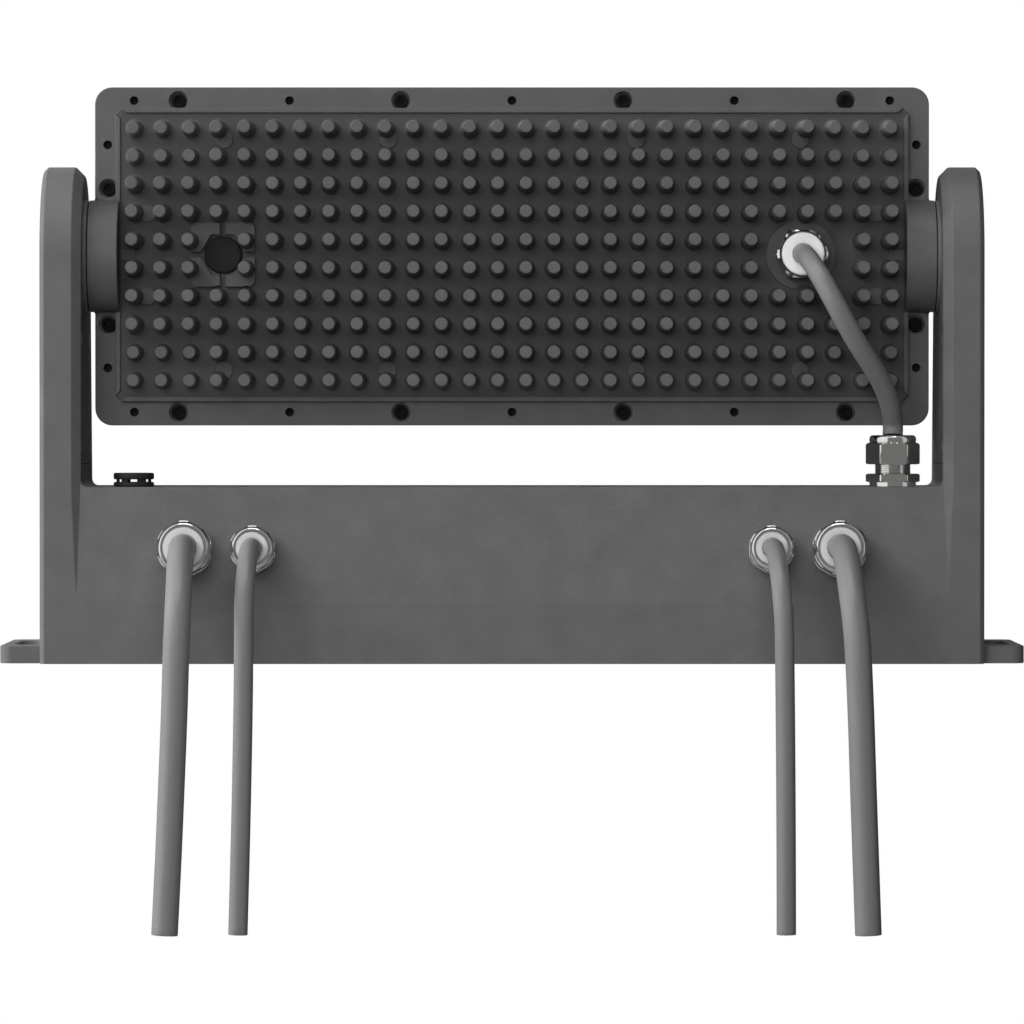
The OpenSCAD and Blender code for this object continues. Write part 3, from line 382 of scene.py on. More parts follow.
FINISHES = {
    "housing": lambda: powder_coat("powder_coat_base", settings().casting.base_colour),
    "housing_dark": lambda: powder_coat("powder_coat_head", settings().casting.head_colour),
    # Painted shade: a darker copy of the head's coat for the field between the pins.
    "painted_shade_coat": lambda: powder_coat("powder_coat_field", painted_shade_field_colour(settings().casting)),
    # Metals: nickel on turned brass, brushed stainless steel, oiled steel, cut copper strands
    "nickel": lambda: speckled(
        "nickel_plate", settings().glands.colour, 4 * MM, 0.05, (0.07, 0.1), Metallic=1.0),
    "steel": lambda: speckled(
        "bright_steel", (0.55, 0.55, 0.54), 0.6 * MM, 0.1, (0.24, 0.15), (0.02 * MM, 0.4),
        detail=2, scale=(1, 0.08, 1), Metallic=1.0),
    "black_screw": lambda: speckled(
        "black_oxide", (0.006, 0.006, 0.006), 2 * MM, 0.4, (0.45, 0.2), Specular_IOR_Level=0.15),
    "copper": lambda: speckled(
        "copper_ends", (0.62, 0.3, 0.14), 0.5 * MM, 0.3, (0.35, 0), (0.1 * MM, 0.8), detail=1,
        Metallic=1.0),
    # Plastic and rubber: spark-eroded nylon, the glands' elastomer, porous gaskets
    "black_plastic": lambda: speckled(
        "moulded_black", (0.013, 0.013, 0.013), 0.35 * MM, 0.3, (0.42, 0.15), (0.03 * MM, 0.5),
        detail=2),
    "seal": lambda: speckled(
        "grey_seal_rubber", (0.62, 0.62, 0.62), 1.2 * MM, 0.03, (0.5, 0.1)),
    "white_seal": lambda: speckled(
        "white_seal_rubber", (0.93, 0.93, 0.93), 1.2 * MM, 0.03, (0.5, 0.1)),
    "gasket": lambda: speckled(
        "black_rubber", (0.015, 0.015, 0.015), 0.7 * MM, 0.3, (0.8, 0), (0.06 * MM, 0.6)),
    "cable": cable_sheath,
    "glass": lambda: clear_glass("front_glass", (0.96, 0.99, 0.98), 1.52, 0.0),
    "lens": lambda: clear_glass("lens_acrylic", (0.98, 0.98, 0.98), 1.49, 0.02),
    "bronze": lambda: small_part("bearing_bronze", (0.5, 0.3, 0.12), 0.35, metal=1.0),
    "friction": lambda: small_part("friction_lining", (0.12, 0.08, 0.05), 0.75, lump=0.8),
    "board_white": lambda: small_part("white_solder_mask", (0.78, 0.78, 0.76), 0.35),
    "board_green": lambda: small_part("green_solder_mask", (0.02, 0.14, 0.05), 0.35),
    "emitter": lambda: small_part("phosphor", (0.8, 0.62, 0.12), 0.5, lump=0.4),
    "terminal": lambda: small_part("terminal_nylon", (0.6, 0.58, 0.48), 0.5),
    "core": lambda: small_part("core_insulation", (0.35, 0.03, 0.02), 0.45),
}


def finish_of(slot):
    """The material of a slot, made once."""
    names = dict(bpy.context.scene.get("finish_names", {}))
    if slot not in names:
        names[slot] = FINISHES[slot]().name
        bpy.context.scene["finish_names"] = names
    return bpy.data.materials[names[slot]]


def slot_of(node):
    """The record's material slot of a node."""
    for entry in frame["record"]["subparts"]:
        if entry["node"] == node:
            return entry["material_slot"]
    raise RuntimeError(f"the record has no slot for {node}")


def dress(node):
    """Gives a node of the solids its finish."""
    mesh = NODES[node].data
    material = finish_of(slot_of(node))
    if not mesh.materials:
        mesh.materials.append(material)
    for index in range(len(mesh.materials)):
        mesh.materials[index] = material


# Mesh tools

def new_piece(name, mesh):
    piece = bpy.data.objects.new(name, mesh)
    bpy.context.scene.collection.objects.link(piece)
    return piece


@contextmanager
def editing(mesh):
    """A mesh open for editing, which is written back at the end."""
    bm = bmesh.new()
    bm.from_mesh(mesh)
    yield bm
    bm.to_mesh(mesh)
    bm.free()


def mesh_from(name, build):
    """A mesh whose faces build(bm) makes, with its faces turned outwards."""
    mesh = bpy.data.meshes.new(name)
    with editing(mesh) as bm:
        build(bm)
        bmesh.ops.remove_doubles(bm, verts=bm.verts, dist=SAME_PLACE)
        bmesh.ops.recalc_face_normals(bm, faces=bm.faces)
    return mesh


def shade_softly(mesh, angle=math.radians(32)):
    """Smooth shading, with sharp edges past the angle and many-sided faces flat."""
    mesh.polygons.foreach_set("use_smooth", [len(face.vertices) <= 8 for face in mesh.polygons])
    with editing(mesh) as bm:
        for edge in bm.edges:
            edge.smooth = len(edge.link_faces) == 2 and edge.calc_face_angle(0) < angle


def settle(piece):
    """Applies every modifier of a piece, so that only its mesh is left."""
    graph = bpy.context.evaluated_depsgraph_get()
    graph.update()
    mesh = bpy.data.meshes.new_from_object(piece.evaluated_get(graph), depsgraph=graph)
    old = piece.data
    piece.modifiers.clear()
    piece.data = mesh
    if old.users == 0:
        bpy.data.meshes.remove(old)
    mesh.name = piece.name
    return piece


def even_normals(piece):
    """Weights the normals by face area, so that flat faces stay flat beside rounded edges."""
    modifier = piece.modifiers.new("weights", "WEIGHTED_NORMAL")
    modifier.keep_sharp = True
    return settle(piece)


def hand_over(piece, body, slot, *nodes):
    """Gives a finished piece its material and its body, and hides the nodes that it stands for."""
    material = finish_of(slot)
    piece.data.materials.clear()
    piece.data.materials.append(material)
    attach(piece, body)
    if nodes:
        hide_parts(*nodes)
    return piece


def round_edges(bm, width, angle=math.radians(28), pointed=0.5):
    """Rounds the convex edges of a closed solid that turn by more than the angle. An edge that
    would be pulled past its own end, at a corner more pointed than pointed, stays sharp."""
    edges = {
        edge for edge in bm.edges
        if len(edge.link_faces) == 2 and edge.is_convex and edge.calc_face_angle(0) > angle}
    for face in bm.faces:
        for corner in face.loops:
            pair = {corner.edge, corner.link_loop_prev.edge}
            shortest = min(edge.calc_length() for edge in pair)
            turn = corner.calc_angle()
            if turn < pointed and width > shortest * math.sin(turn):
                edges -= pair
    bmesh.ops.bevel(
        bm, geom=list(edges), offset=width, offset_type="OFFSET", segments=2, profile=0.5,
        affect="EDGES", clamp_overlap=False)


def merge_flats(bm, cuts):
    """Merges the triangles of flat faces. The cuts, (axis, place), run through the holes, so that
    no merged face has a hole in it."""
    for axis, place in cuts:
        normal = Vector([float(axis == k) for k in range(3)])
        parts = bmesh.ops.bisect_plane(
            bm, geom=[*bm.verts, *bm.edges, *bm.faces], dist=SAME_PLACE, plane_co=normal * place,
            plane_no=normal)
        for part in parts["geom_cut"]:
            if isinstance(part, bmesh.types.BMEdge):
                part.seam = True
    bmesh.ops.dissolve_limit(
        bm, angle_limit=math.radians(0.6), use_dissolve_boundaries=False, verts=bm.verts,
        edges=bm.edges, delimit={"SEAM"})


def rounded_copy(name, node, body, width, cuts=()):
    """A piece that repeats a node in large flat faces, with its convex edges rounded."""
    mesh = bpy.data.meshes.new(node)
    with editing(mesh) as bm:
        bm.from_mesh(NODES[node].data)
        bmesh.ops.remove_doubles(bm, verts=bm.verts, dist=2 * SAME_PLACE)
        merge_flats(bm, cuts)
        round_edges(bm, width)
    shade_softly(mesh)
    hand_over(even_normals(new_piece(name, mesh)), body, slot_of(node), node)


def circle(radius, steps):
    """Points round a circle, anticlockwise."""
    turns = [2 * math.pi * k / steps for k in range(steps)]
    return [(radius * math.cos(turn), radius * math.sin(turn)) for turn in turns]


def skin(bm, rows):
    """Joins each ring of vertices to the next by a band of faces."""
    for a, b in zip(rows, rows[1:]):
        for k in range(len(a)):
            n = (k + 1) % len(a)
            bm.faces.new((a[k], a[n], b[n], b[k]))


def loft(bm, rings):
    """Skins a stack of equal rings of points and closes both ends."""
    rows = [[bm.verts.new(point) for point in ring] for ring in rings]
    skin(bm, rows)
    bm.faces.new(rows[0])
    bm.faces.new(rows[-1])


def turned(profile, sides, radius_of=None):
    """Returns a builder that turns a closed profile of (radius, height) round Z."""
    def build(bm):
        rows = []
        for radius, height in profile:
            row = []
            for k in range(sides):
                angle = 2 * math.pi * k / sides
                reach = min(radius, radius_of(angle)) if radius_of else radius
                row.append(bm.verts.new((
                    reach * math.cos(angle), reach * math.sin(angle), height)))
            rows.append(row)
        skin(bm, rows + rows[:1])
    return build


def closed_turned(profile, sides):
    """Turns an open profile whose first and last rings are closed by a face."""
    def build(bm):
        loft(bm, [[(x, y, height) for x, y in circle(radius, sides)]
                  for radius, height in profile])
    return build


def block(depth, width, low, high):
    """A small block round Z between two heights."""
    def build(bm):
        x, y = depth / 2, width / 2
        loft(bm, [[(-x, -y, z), (x, -y, z), (x, y, z), (-x, y, z)] for z in (low, high)])
    return build


def hexagon_reach(width, limit):
    """Radius of a hexagon at an angle, for a width across flats, turned down to a limit."""
    def reach(angle):
        from_flat = (angle + math.pi / 6) % (math.pi / 3) - math.pi / 6
        return min(width / 2 / math.cos(from_flat), limit)
    return reach


def merge(name, parts, body, slot, *nodes):
    """Joins (mesh, matrix) pairs into one piece."""
    mesh = bpy.data.meshes.new(name)
    with editing(mesh) as bm:
        for part, matrix in parts:
            start = len(bm.verts)
            bm.from_mesh(part)
            bm.verts.ensure_lookup_table()
            bmesh.ops.transform(bm, matrix=matrix, verts=bm.verts[start:])
    for part in {part for part, _ in parts}:
        bpy.data.meshes.remove(part)
    shade_softly(mesh)
    return hand_over(new_piece(name, mesh), body, slot, *nodes)


def facing(place, direction, turn=0.0):
    """Matrix that stands a shape's Z axis along a direction at a place."""
    aim = Vector(direction).to_track_quat("Z", "Y").to_matrix().to_4x4()
    return Matrix.Translation(place) @ aim @ Matrix.Rotation(turn, 4, "Z")


# Geometry nodes: copies of a unit shape on the points of a mesh

def socket_name(tree, name):
    for item in tree.interface.items_tree:
        if item.name == name and getattr(item, "in_out", None) == "INPUT":
            return item.identifier
    raise RuntimeError(f"the node tree has no input named {name}")


def copies_tree(name):
    """Tree that stands a unit on every point, scaled along its height by the point's own share."""
    tree = bpy.data.node_groups.new(name, "GeometryNodeTree")
    for label, way, kind in (
            ("Geometry", "INPUT", "Geometry"), ("Unit", "INPUT", "Object"),
            ("Turn", "INPUT", "Rotation"), ("Finish", "INPUT", "Material"),
            ("Geometry", "OUTPUT", "Geometry")):
        tree.interface.new_socket(label, in_out=way, socket_type="NodeSocket" + kind)
    start, end, unit, share, place, realize, finish = (tree.nodes.new(kind) for kind in (
        "NodeGroupInput", "NodeGroupOutput", "GeometryNodeObjectInfo",
        "GeometryNodeInputNamedAttribute", "GeometryNodeInstanceOnPoints",
        "GeometryNodeRealizeInstances", "GeometryNodeSetMaterial"))
    share.data_type = "FLOAT_VECTOR"
    share.inputs["Name"].default_value = "share"
    for giver, output, taker, entry in (
            (start, "Geometry", place, "Points"), (start, "Unit", unit, "Object"),
            (unit, "Geometry", place, "Instance"), (start, "Turn", place, "Rotation"),
            (share, "Attribute", place, "Scale"), (place, "Instances", realize, "Geometry"),
            (realize, "Geometry", finish, "Geometry"), (start, "Finish", finish, "Material"),
            (finish, "Geometry", end, "Geometry")):
        tree.links.new(giver.outputs[output], taker.inputs[entry])
    return tree


def spread(name, unit_mesh, places, turn, slot, body, *nodes, shares=None):
    """Copies of a unit at places, by Geometry Nodes, as one finished piece."""
    tree = bpy.data.node_groups.get("copies_on_points") or copies_tree("copies_on_points")
    points = bpy.data.meshes.new(name)
    points.from_pydata(places, [], [])
    attribute = points.attributes.new("share", "FLOAT_VECTOR", "POINT")
    scales = shares or [(1, 1, 1)] * len(places)
    attribute.data.foreach_set("vector", [number for scale in scales for number in scale])
    piece = new_piece(name, points)
    unit = new_piece(name + "_unit", unit_mesh)
    modifier = piece.modifiers.new("copies", "NODES")
    modifier.node_group = tree
    modifier[socket_name(tree, "Unit")] = unit
    modifier[socket_name(tree, "Turn")] = turn
    modifier[socket_name(tree, "Finish")] = finish_of(slot)
    settle(piece)
    bpy.data.objects.remove(unit)
    bpy.data.meshes.remove(unit_mesh)
    shade_softly(piece.data)
    return hand_over(piece, body, slot, *nodes)


# Shared outlines

def rounded_rectangle(width, height, radius, steps=6):
    """Points of a rounded rectangle, anticlockwise."""
    points = []
    for quarter, (sx, sz) in enumerate([(1, 1), (-1, 1), (-1, -1), (1, -1)]):
        for k in range(steps + 1):
            angle = math.pi / 2 * (quarter + k / steps)
            points.append((
                sx * (width / 2 - radius) + radius * math.cos(angle),
                sz * (height / 2 - radius) + radius * math.sin(angle)))
    return points


def inset_outline(points, inset):
    """The outline pulled in evenly by inset."""
    count = len(points)
    moved = []
    turn = sum(
        a[0] * b[1] - b[0] * a[1] for a, b in zip(points, points[1:] + points[:1]))
    inward = 1 if turn > 0 else -1
    for k, (x, z) in enumerate(points):
        (last_x, last_z), (next_x, next_z) = points[k - 1], points[(k + 1) % count]
        before = Vector((x - last_x, z - last_z)).normalized()
        after = Vector((next_x - x, next_z - z)).normalized()
        across = (before.orthogonal() + after.orthogonal()) * inward
        reach = max(across.length_squared / 2, 0.5)
        moved.append((x + inset * across.x / reach, z + inset * across.y / reach))
    return moved


def head_prism(bm, outline, rear_y, front_y, up=0.0, soft=0.0):
    """Prism of the head between two depths, its rear edge rounded by soft."""
    levels = [(rear_y, 0.0)]
    if soft:
        levels = [
            (rear_y + soft * (1 - math.sin(turn)), soft * (1 - math.cos(turn)))
            for turn in (math.pi / 2, math.pi / 3, math.pi / 6, 0.0)]
    levels.append((front_y, 0.0))
    rings = []
    for y, inset in levels:
        points = inset_outline(outline, inset) if inset else outline
        rings.append([(x, y, HINGE.z + up + z) for x, z in points])
    loft(bm, rings)


def disc_outline(x, z, radius, steps=32):
    return [(x + across, z + up) for across, up in circle(radius, steps)]


def solid(name, build):
    """An object whose mesh build(bm) makes."""
    return new_piece(name, mesh_from(name, build))


def cut_away(piece, cutter):
    """Takes the cutter's shape out of the piece."""
    modifier = piece.modifiers.new("cut", "BOOLEAN")
    modifier.operation = "DIFFERENCE"
    modifier.solver = "EXACT"
    modifier.use_self = True
    modifier.object = cutter
    settle(piece)
    mesh = cutter.data
    bpy.data.objects.remove(cutter)
    bpy.data.meshes.remove(mesh)


def pin_x(column):
    fins = settings().fins
    return (column - (fins.columns - 1) / 2) * fins.pitch


def pin_z(row):
    fins = settings().fins
    return ((fins.rows - 1) / 2 - row) * fins.pitch + FIELD_UP


# Where the screws, holes and bosses of the head are, from the tilt axis
SCREW_IN = 6.2 * MM  # from the edge of the flange
SCREW_SEAT_Y = 5.6 * MM
SCREW_COLUMNS = [103.6 * MM * k for k in (-1.5, -0.5, 0.5, 1.5)]
SCREW_ROWS = [-31.7 * MM, 31.7 * MM]
BEZEL_COLUMNS = [80 * MM * k for k in range(-2, 3)]
BEZEL_ROWS = [40 * MM * k for k in (-1, 0, 1)]
HEAD_SCREWS = [(x, side * (HALF_H - SCREW_IN)) for x in SCREW_COLUMNS for side in SIDES]
HEAD_SCREWS += [(side * (HALF_W - SCREW_IN), z) for side in SIDES for z in SCREW_ROWS]
SMALL_HOLES = [(x * MM, side * (HALF_H - SCREW_IN))
               for x in (-176, -103.6, 0, 103.6, 176) for side in SIDES]
SMALL_HOLES += [(side * (HALF_W - 5.9 * MM), z * MM) for side in SIDES for z in (-51.9, 51.9)]
BOSSES = [(x * MM, z * MM + FIELD_UP) for columns, rows in (
    ((-134, -57.8, 57.8, 134), (-53.6, 53.6)), ((-169.6, -96.3, 96.3, 169.6), (-19.3, 19.3)))
    for x in columns for z in rows]


class WASHLIGHT_OT_stage(Operator):
    """Sets the camera, the lights, the world and the floor"""

    bl_idname = "washlight.stage"
    bl_label = "Stage"

    target, reach = Vector((0, -0.02, 0.12)), 2.6  # where the panels point, and from how far
    floor_half, floor_white, floor_tone = 3, 0.88, 0.2
    # What shiny parts mirror: degrees round Z from the rear side towards +X, and brightness
    studio = (
        (-180, 0.05), (-90, 0.045), (-84, 0.9), (-32, 0.9), (-27, 0.18), (46, 0.18), (50, 0.55),
        (70, 0.55), (75, 0.01), (120, 0.01), (180, 0.05))

    def execute(self, context):
        stage = settings().stage
        self.add_camera(context, stage)
        # Name, degrees from the rear side towards +X, degrees up, size, power
        panels = (
            ("key_panel", -50, 35, (2.2, 1.3), stage.key_power),
            ("side_panel", -97, 22, (0.9, 1.6), stage.side_power),
            ("fill_panel", -9, 11, (1.5, 1.0), stage.fill_power),
            ("top_panel", 0, 70, (1.3, 1.3), stage.top_power),
            ("front_panel", 180, 30, (1.2, 1.2), stage.front_power))
        for name, around, up, size, power in panels:
            self.add_light(name, math.radians(around), math.radians(up), size, power)
        self.set_world(context, stage.ambient)
        self.add_floor(stage.floor_z)
        context.scene.view_settings.view_transform = "Standard"
        return {"FINISHED"}

    @staticmethod
    def add_camera(context, stage):
        data = bpy.data.cameras.new("camera")
        data.lens = stage.lens
        data.sensor_width = 36
        data.clip_end = 100
        camera = bpy.data.objects.new("camera", data)
        camera.location = (0, REAR_Y - stage.distance, stage.height)
        camera.rotation_euler = (math.pi / 2 - stage.pitch, 0, 0)
        context.scene.collection.objects.link(camera)
        context.scene.camera = camera

    def add_light(self, name, around, up, size, power):
        """A soft panel that faces the object. Only the top one shows in shiny parts, which mirror
        the world's studio in place of the others."""
        data = bpy.data.lights.new(name, "AREA")
        data.shape = "RECTANGLE"
        data.size, data.size_y = size
        data.energy = power
        light = bpy.data.objects.new(name, data)
        out = Vector((math.sin(around) * math.cos(up), -math.cos(around) * math.cos(up),
                      math.sin(up)))
        light.location = self.target + self.reach * out
        light.rotation_euler = (-out).to_track_quat("-Z", "Y").to_euler()
        light.visible_glossy = name == "top_panel"
        bpy.context.scene.collection.objects.link(light)

    def set_world(self, context, ambient):
        """White to the eye and through glass, faint grey as light, a studio in reflections."""
        world = bpy.data.worlds.new("studio")
        context.scene.world = world
        world.use_nodes = True
        nodes = Nodes(world.node_tree, "ShaderNodeOutputWorld")
        seen, through, mirrored = (
            nodes.add("ShaderNodeLightPath", result=f"Is {kind} Ray")
            for kind in ("Camera", "Transmission", "Glossy"))
        aim = nodes.add("ShaderNodeTexCoord", result="Generated")
        x, y = (nodes.add("ShaderNodeSeparateXYZ", None, {0: aim}, axis) for axis in "XY")
        around = nodes.add("ShaderNodeMath", {"operation": "ARCTAN2"}, {0: x, 1: y * -1})
        share = nodes.add("ShaderNodeMapRange", None, {
            "Value": around, "From Min": -math.pi, "From Max": math.pi})
        stops = [((degrees + 180) / 360, grey(level)) for degrees, level in self.studio]
        mirror = nodes.add("ShaderNodeValToRGB", {"stops": stops}, {0: share})
        light = nodes.mix(mirrored, grey(ambient), mirror)
        direct = nodes.add("ShaderNodeMath", {"operation": "MAXIMUM"}, {0: seen, 1: through})
        nodes.end(nodes.add("ShaderNodeBackground", None, {
            "Color": nodes.mix(direct, light, grey(1))}))

    def add_floor(self, height):
        """Pale floor far below: almost white to the eye, with the object's soft shadow kept."""
        mesh = bpy.data.meshes.new("floor")
        corners = [(x * self.floor_half, y * self.floor_half, height)
                   for x, y in ((-1, -1), (1, -1), (1, 1), (-1, 1))]
        mesh.from_pydata(corners, [], [(0, 1, 2, 3)])
        floor = new_piece("floor", mesh)
        shade = Shade("floor_paint")
        matt = shade.add("ShaderNodeBsdfDiffuse", None, {"Color": grey(self.floor_tone)})
        glow = shade.add("ShaderNodeEmission", None, {"Color": grey(1), "Strength": 1.0})
        white = shade.add("ShaderNodeLightPath", result="Is Camera Ray") * self.floor_white
        shade.end(shade.add("ShaderNodeMixShader", None, {0: white, 1: matt, 2: glow}))
        mesh.materials.append(shade.material)


# Cables. Each route repeats the points of its solid, in millimetres.

STRAIGHT = 6 * MM  # how far a cable runs straight out of its gland


def rear_route(x, gland_height, rest):
    """A tail's route out of its rear gland and on through the rest of its points."""
    mouth = Vector((x, REAR_SEAT_Y, REAR_SEAT_Z)) + gland_height * WALL_OUT
    return [mouth, mouth + STRAIGHT * WALL_OUT] + [Vector(point) * MM for point in rest]


MAINS_IN = [
    (-150, -86, 53), (-150, -101, 46), (-150, -113, 34), (-150.3, -119.5, 21.5),
    (-150.8, -121.2, 7), (-151.6, -121.5, -20), (-152.8, -121.5, -50),
    (-154.3, -121.5, -85), (-156, -121.5, -119)]
MAINS_OUT = [
    (150.8, -86, 53), (151.8, -101, 46), (153, -113, 34), (154.3, -119.5, 21.5),
    (155.4, -121.2, 7), (156.6, -121.5, -20), (157.6, -121.5, -50),
    (158.8, -121.5, -85), (160, -121.5, -119)]
DATA_IN = [
    (-119.5, -79, 53), (-120, -90, 48), (-120.6, -98.5, 39), (-121, -103.5, 29),
    (-121, -105, 18), (-121.2, -105, -10), (-121.8, -105, -45),
    (-122.6, -105, -80), (-123.7, -105, -120)]
DATA_OUT = [
    (119.6, -79, 53), (120.4, -90, 48), (121.4, -98.5, 39), (122.2, -103.5, 29),
    (122.8, -105, 18), (123.2, -105, -10), (123.5, -105, -45),
    (123.7, -105, -80), (123.8, -105, -120)]
HEAD_CABLE = [
    (135.5, -42, 187.4), (138, -51.5, 183.4), (142, -58, 176.4), (147, -60.5, 167),
    (152.5, -59, 157), (158.5, -54.5, 147), (165, -48, 137.5), (170.5, -40.5, 128.5),
    (174.4, -32.5, 119.5)]


def smooth_path(points, step=2.5 * MM):
    """Points along a smooth curve through the given ones, about a step apart."""
    ends = [points[0] * 2 - points[1], *points, points[-1] * 2 - points[-2]]
    path = []
    for a, b, c, d in zip(ends, ends[1:], ends[2:], ends[3:]):
        count = max(1, round((c - b).length / step))
        for k in range(count):
            t = k / count
            path.append(0.5 * (
                2 * b + (c - a) * t + (2 * a - 5 * b + 4 * c - d) * t ** 2
                + (3 * b - a - 3 * c + d) * t ** 3))
    return path + [points[-1]]


def tube_mesh(name, path, radius, sides=32):
    """A closed tube along a path, its end edges slightly rounded."""
    def build(bm):
        normal = Vector((1, 0, 0))
        rings = []
        last = len(path) - 1
        for k, point in enumerate(path):
            ahead = (path[min(k + 1, last)] - path[max(k - 1, 0)]).normalized()
            normal = (normal - ahead * normal.dot(ahead)).normalized()
            other = ahead.cross(normal)
            rings.append([bm.verts.new(point + radius * (a * normal + b * other))
                          for a, b in circle(1, sides)])
        skin(bm, rings)
        caps = [bm.faces.new(rings[0]), bm.faces.new(rings[-1])]
        rim = {edge for face in caps for edge in face.edges}
        bmesh.ops.bevel(
            bm, geom=list(rim), offset=0.35 * MM, segments=2, profile=0.5, affect="EDGES")
    mesh = mesh_from(name, build)
    shade_softly(mesh, math.radians(40))
    return mesh


def length_of(path):
    return sum((b - a).length for a, b in zip(path, path[1:]))


class WASHLIGHT_OT_cables(Operator):
    """Makes the four cable tails with their cut ends, and the head cable"""

    bl_idname = "washlight.cables"
    bl_label = "Cables"

    cores = 3
    core_radius, core_ring = 0.1, 0.21  # shares of the cable's diameter
    core_depth, core_proud = 1 * MM, 0.03 * MM

    def execute(self, context):
        cables = settings().cables
        for node, x, kind, rest, diameter in (
                ("mains_in_cable", -MAINS_X, "mains", MAINS_IN, cables.mains_diameter),
                ("mains_out_cable", MAINS_X, "mains", MAINS_OUT, cables.mains_diameter),
                ("data_in_cable", -DATA_X, "data", DATA_IN, cables.data_diameter),
                ("data_out_cable", DATA_X, "data", DATA_OUT, cables.data_diameter)):
            path = smooth_path(rear_route(x, GLAND_HEIGHTS[kind], rest))
            self.add_tail(node, path, diameter)
        self.add_head_cable(cables.jumper_diameter)
        return {"FINISHED"}

    def add_tail(self, node, path, diameter):
        """A sheath that ends cut square, with its copper cores in the cut."""
        piece = new_piece(node + "_sheath", tube_mesh(node, path, diameter / 2))
        hand_over(piece, "base", "cable", node)
        down = (path[-1] - path[-2]).normalized()
        radius = self.core_radius * diameter
        ends = []
        for a, b in circle(1, self.cores):
            offset = diameter * self.core_ring * Vector((a, b, 0))
            core = mesh_from(node + "_core", closed_turned(
                [(radius, -self.core_depth), (radius, self.core_proud)], 16))
            ends.append((core, facing(path[-1], down) @ Matrix.Translation(offset)))
        wires = merge(node + "_wire_ends", ends, "base", "cable")
        wires.data.materials[0] = finish_of("copper")
        length_of(path)

    @staticmethod
    def add_head_cable(diameter):
        """The jumper between the base and the head; on the real light it bends with the tilt, here it is one fixed
        tube.
        """
        head_mouth = Vector((
            FITTING_X, FIELD_Y - LAND_RISE - GLAND_HEIGHTS["jumper"], HINGE.z + FIELD_UP))
        base_mouth = JUMPER_SEAT + Vector((0, 0, GLAND_HEIGHTS["jumper"]))
        route = [base_mouth, base_mouth + Vector((0, 0, STRAIGHT))]
        route += [Vector(point) * MM for point in reversed(HEAD_CABLE)]
        route += [head_mouth + Vector((0, -STRAIGHT, 0)), head_mouth]
        path = smooth_path(route)
        piece = new_piece("head_cable_sheath", tube_mesh("head_cable", path, diameter / 2))
        piece.data.materials.append(finish_of("cable"))
        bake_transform(piece)
        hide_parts("head_cable")
        length_of(path)


class WASHLIGHT_OT_base(Operator):
    """Rounds the cast edges of the base, its covers and its plate, and adds the pivot caps"""

    bl_idname = "washlight.base"
    bl_label = "Base casting"

    cover_edge, plate_edge = 0.25 * MM, 0.3 * MM
    breather_radius, thread_radius, thread_depth = 9.35 * MM, 5.9 * MM, 13 * MM
    foot_top, cap_foot, cap_top = 2.2 * MM, 3.4 * MM, 6.4 * MM
    posts, post_ring, post_depth, post_width = 6, 7.27 * MM, 1.4 * MM, 3.35 * MM

    def execute(self, context):
        width = settings().casting.edge_round
        cuts = [(0, x) for x in (-MAINS_X, -DATA_X, DATA_X, MAINS_X, VENT_SEAT.x, JUMPER_SEAT.x)]
        cuts += [(1, VENT_SEAT.y), (1, HINGE.y), (2, HINGE.z), (2, REAR_SEAT_Z)]
        rounded_copy("yoke_casting", "yoke_base", "base", width, cuts)
        for side in ("left", "right"):
            rounded_copy("arm_lid_" + side, "arm_cover_" + side, "base", self.cover_edge)
            self.add_cap(side)
        rounded_copy("base_lid", "base_plate", "base", self.plate_edge)
        self.add_breather()
        return {"FINISHED"}

    @staticmethod
    def add_cap(side):
        """Push-in cap over a pivot bolt: a shallow dish with a rounded rim."""
        node = "pivot_cap_" + side
        low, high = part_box(node)
        radius = (high.z - low.z) / 2
        depth = high.x - low.x
        profile = [
            (radius - 0.3 * MM, 0), (radius, 0.3 * MM), (radius, depth - 0.4 * MM),
            (radius - 0.15 * MM, depth - 0.12 * MM), (radius - 0.5 * MM, depth),
            (radius - 2.2 * MM, depth), (radius - 2.9 * MM, depth - 0.45 * MM),
            (radius * 0.4, depth - 0.75 * MM)]
        mesh = mesh_from(node, closed_turned(profile, 96))
        outward = 1 if side == "right" else -1
        base_x = low.x if outward > 0 else high.x
        matrix = facing((base_x, HINGE.y, HINGE.z), (outward, 0, 0))
        merge("pivot_plug_" + side, [(mesh, matrix)], "base", "black_plastic", node)

    def add_breather(self):
        """Breather on the base: foot, six posts and a cap with a rounded rim."""
        radius = self.breather_radius

        def rim(low, high):
            return [
                (radius - 0.7 * MM, low), (radius - 0.2 * MM, low + 0.15 * MM),
                (radius, low + 0.6 * MM), (radius, high - 0.7 * MM),
                (radius - 0.2 * MM, high - 0.2 * MM), (radius - 0.7 * MM, high),
                (radius * 0.5, high)]

        seat = Matrix.Translation(VENT_SEAT)
        thread = [(self.thread_radius, -self.thread_depth), (self.thread_radius, 0.1 * MM)]
        parts = [
            (mesh_from("breather_" + name, closed_turned(profile, sides)), seat)
            for name, profile, sides in (
                ("foot", rim(0, self.foot_top), 64), ("cap", rim(self.cap_foot, self.cap_top), 64),
                ("thread", thread, 48))]
        for k in range(self.posts):
            post = mesh_from("breather_post", block(
                self.post_depth, self.post_width, self.foot_top - SUNK, self.cap_foot + SUNK))
            turn = Matrix.Rotation(2 * math.pi * k / self.posts, 4, "Z")
            parts.append((post, seat @ turn @ Matrix.Translation((self.post_ring, 0, 0))))
        merge("breather", parts, "base", "black_plastic", "base_vent")


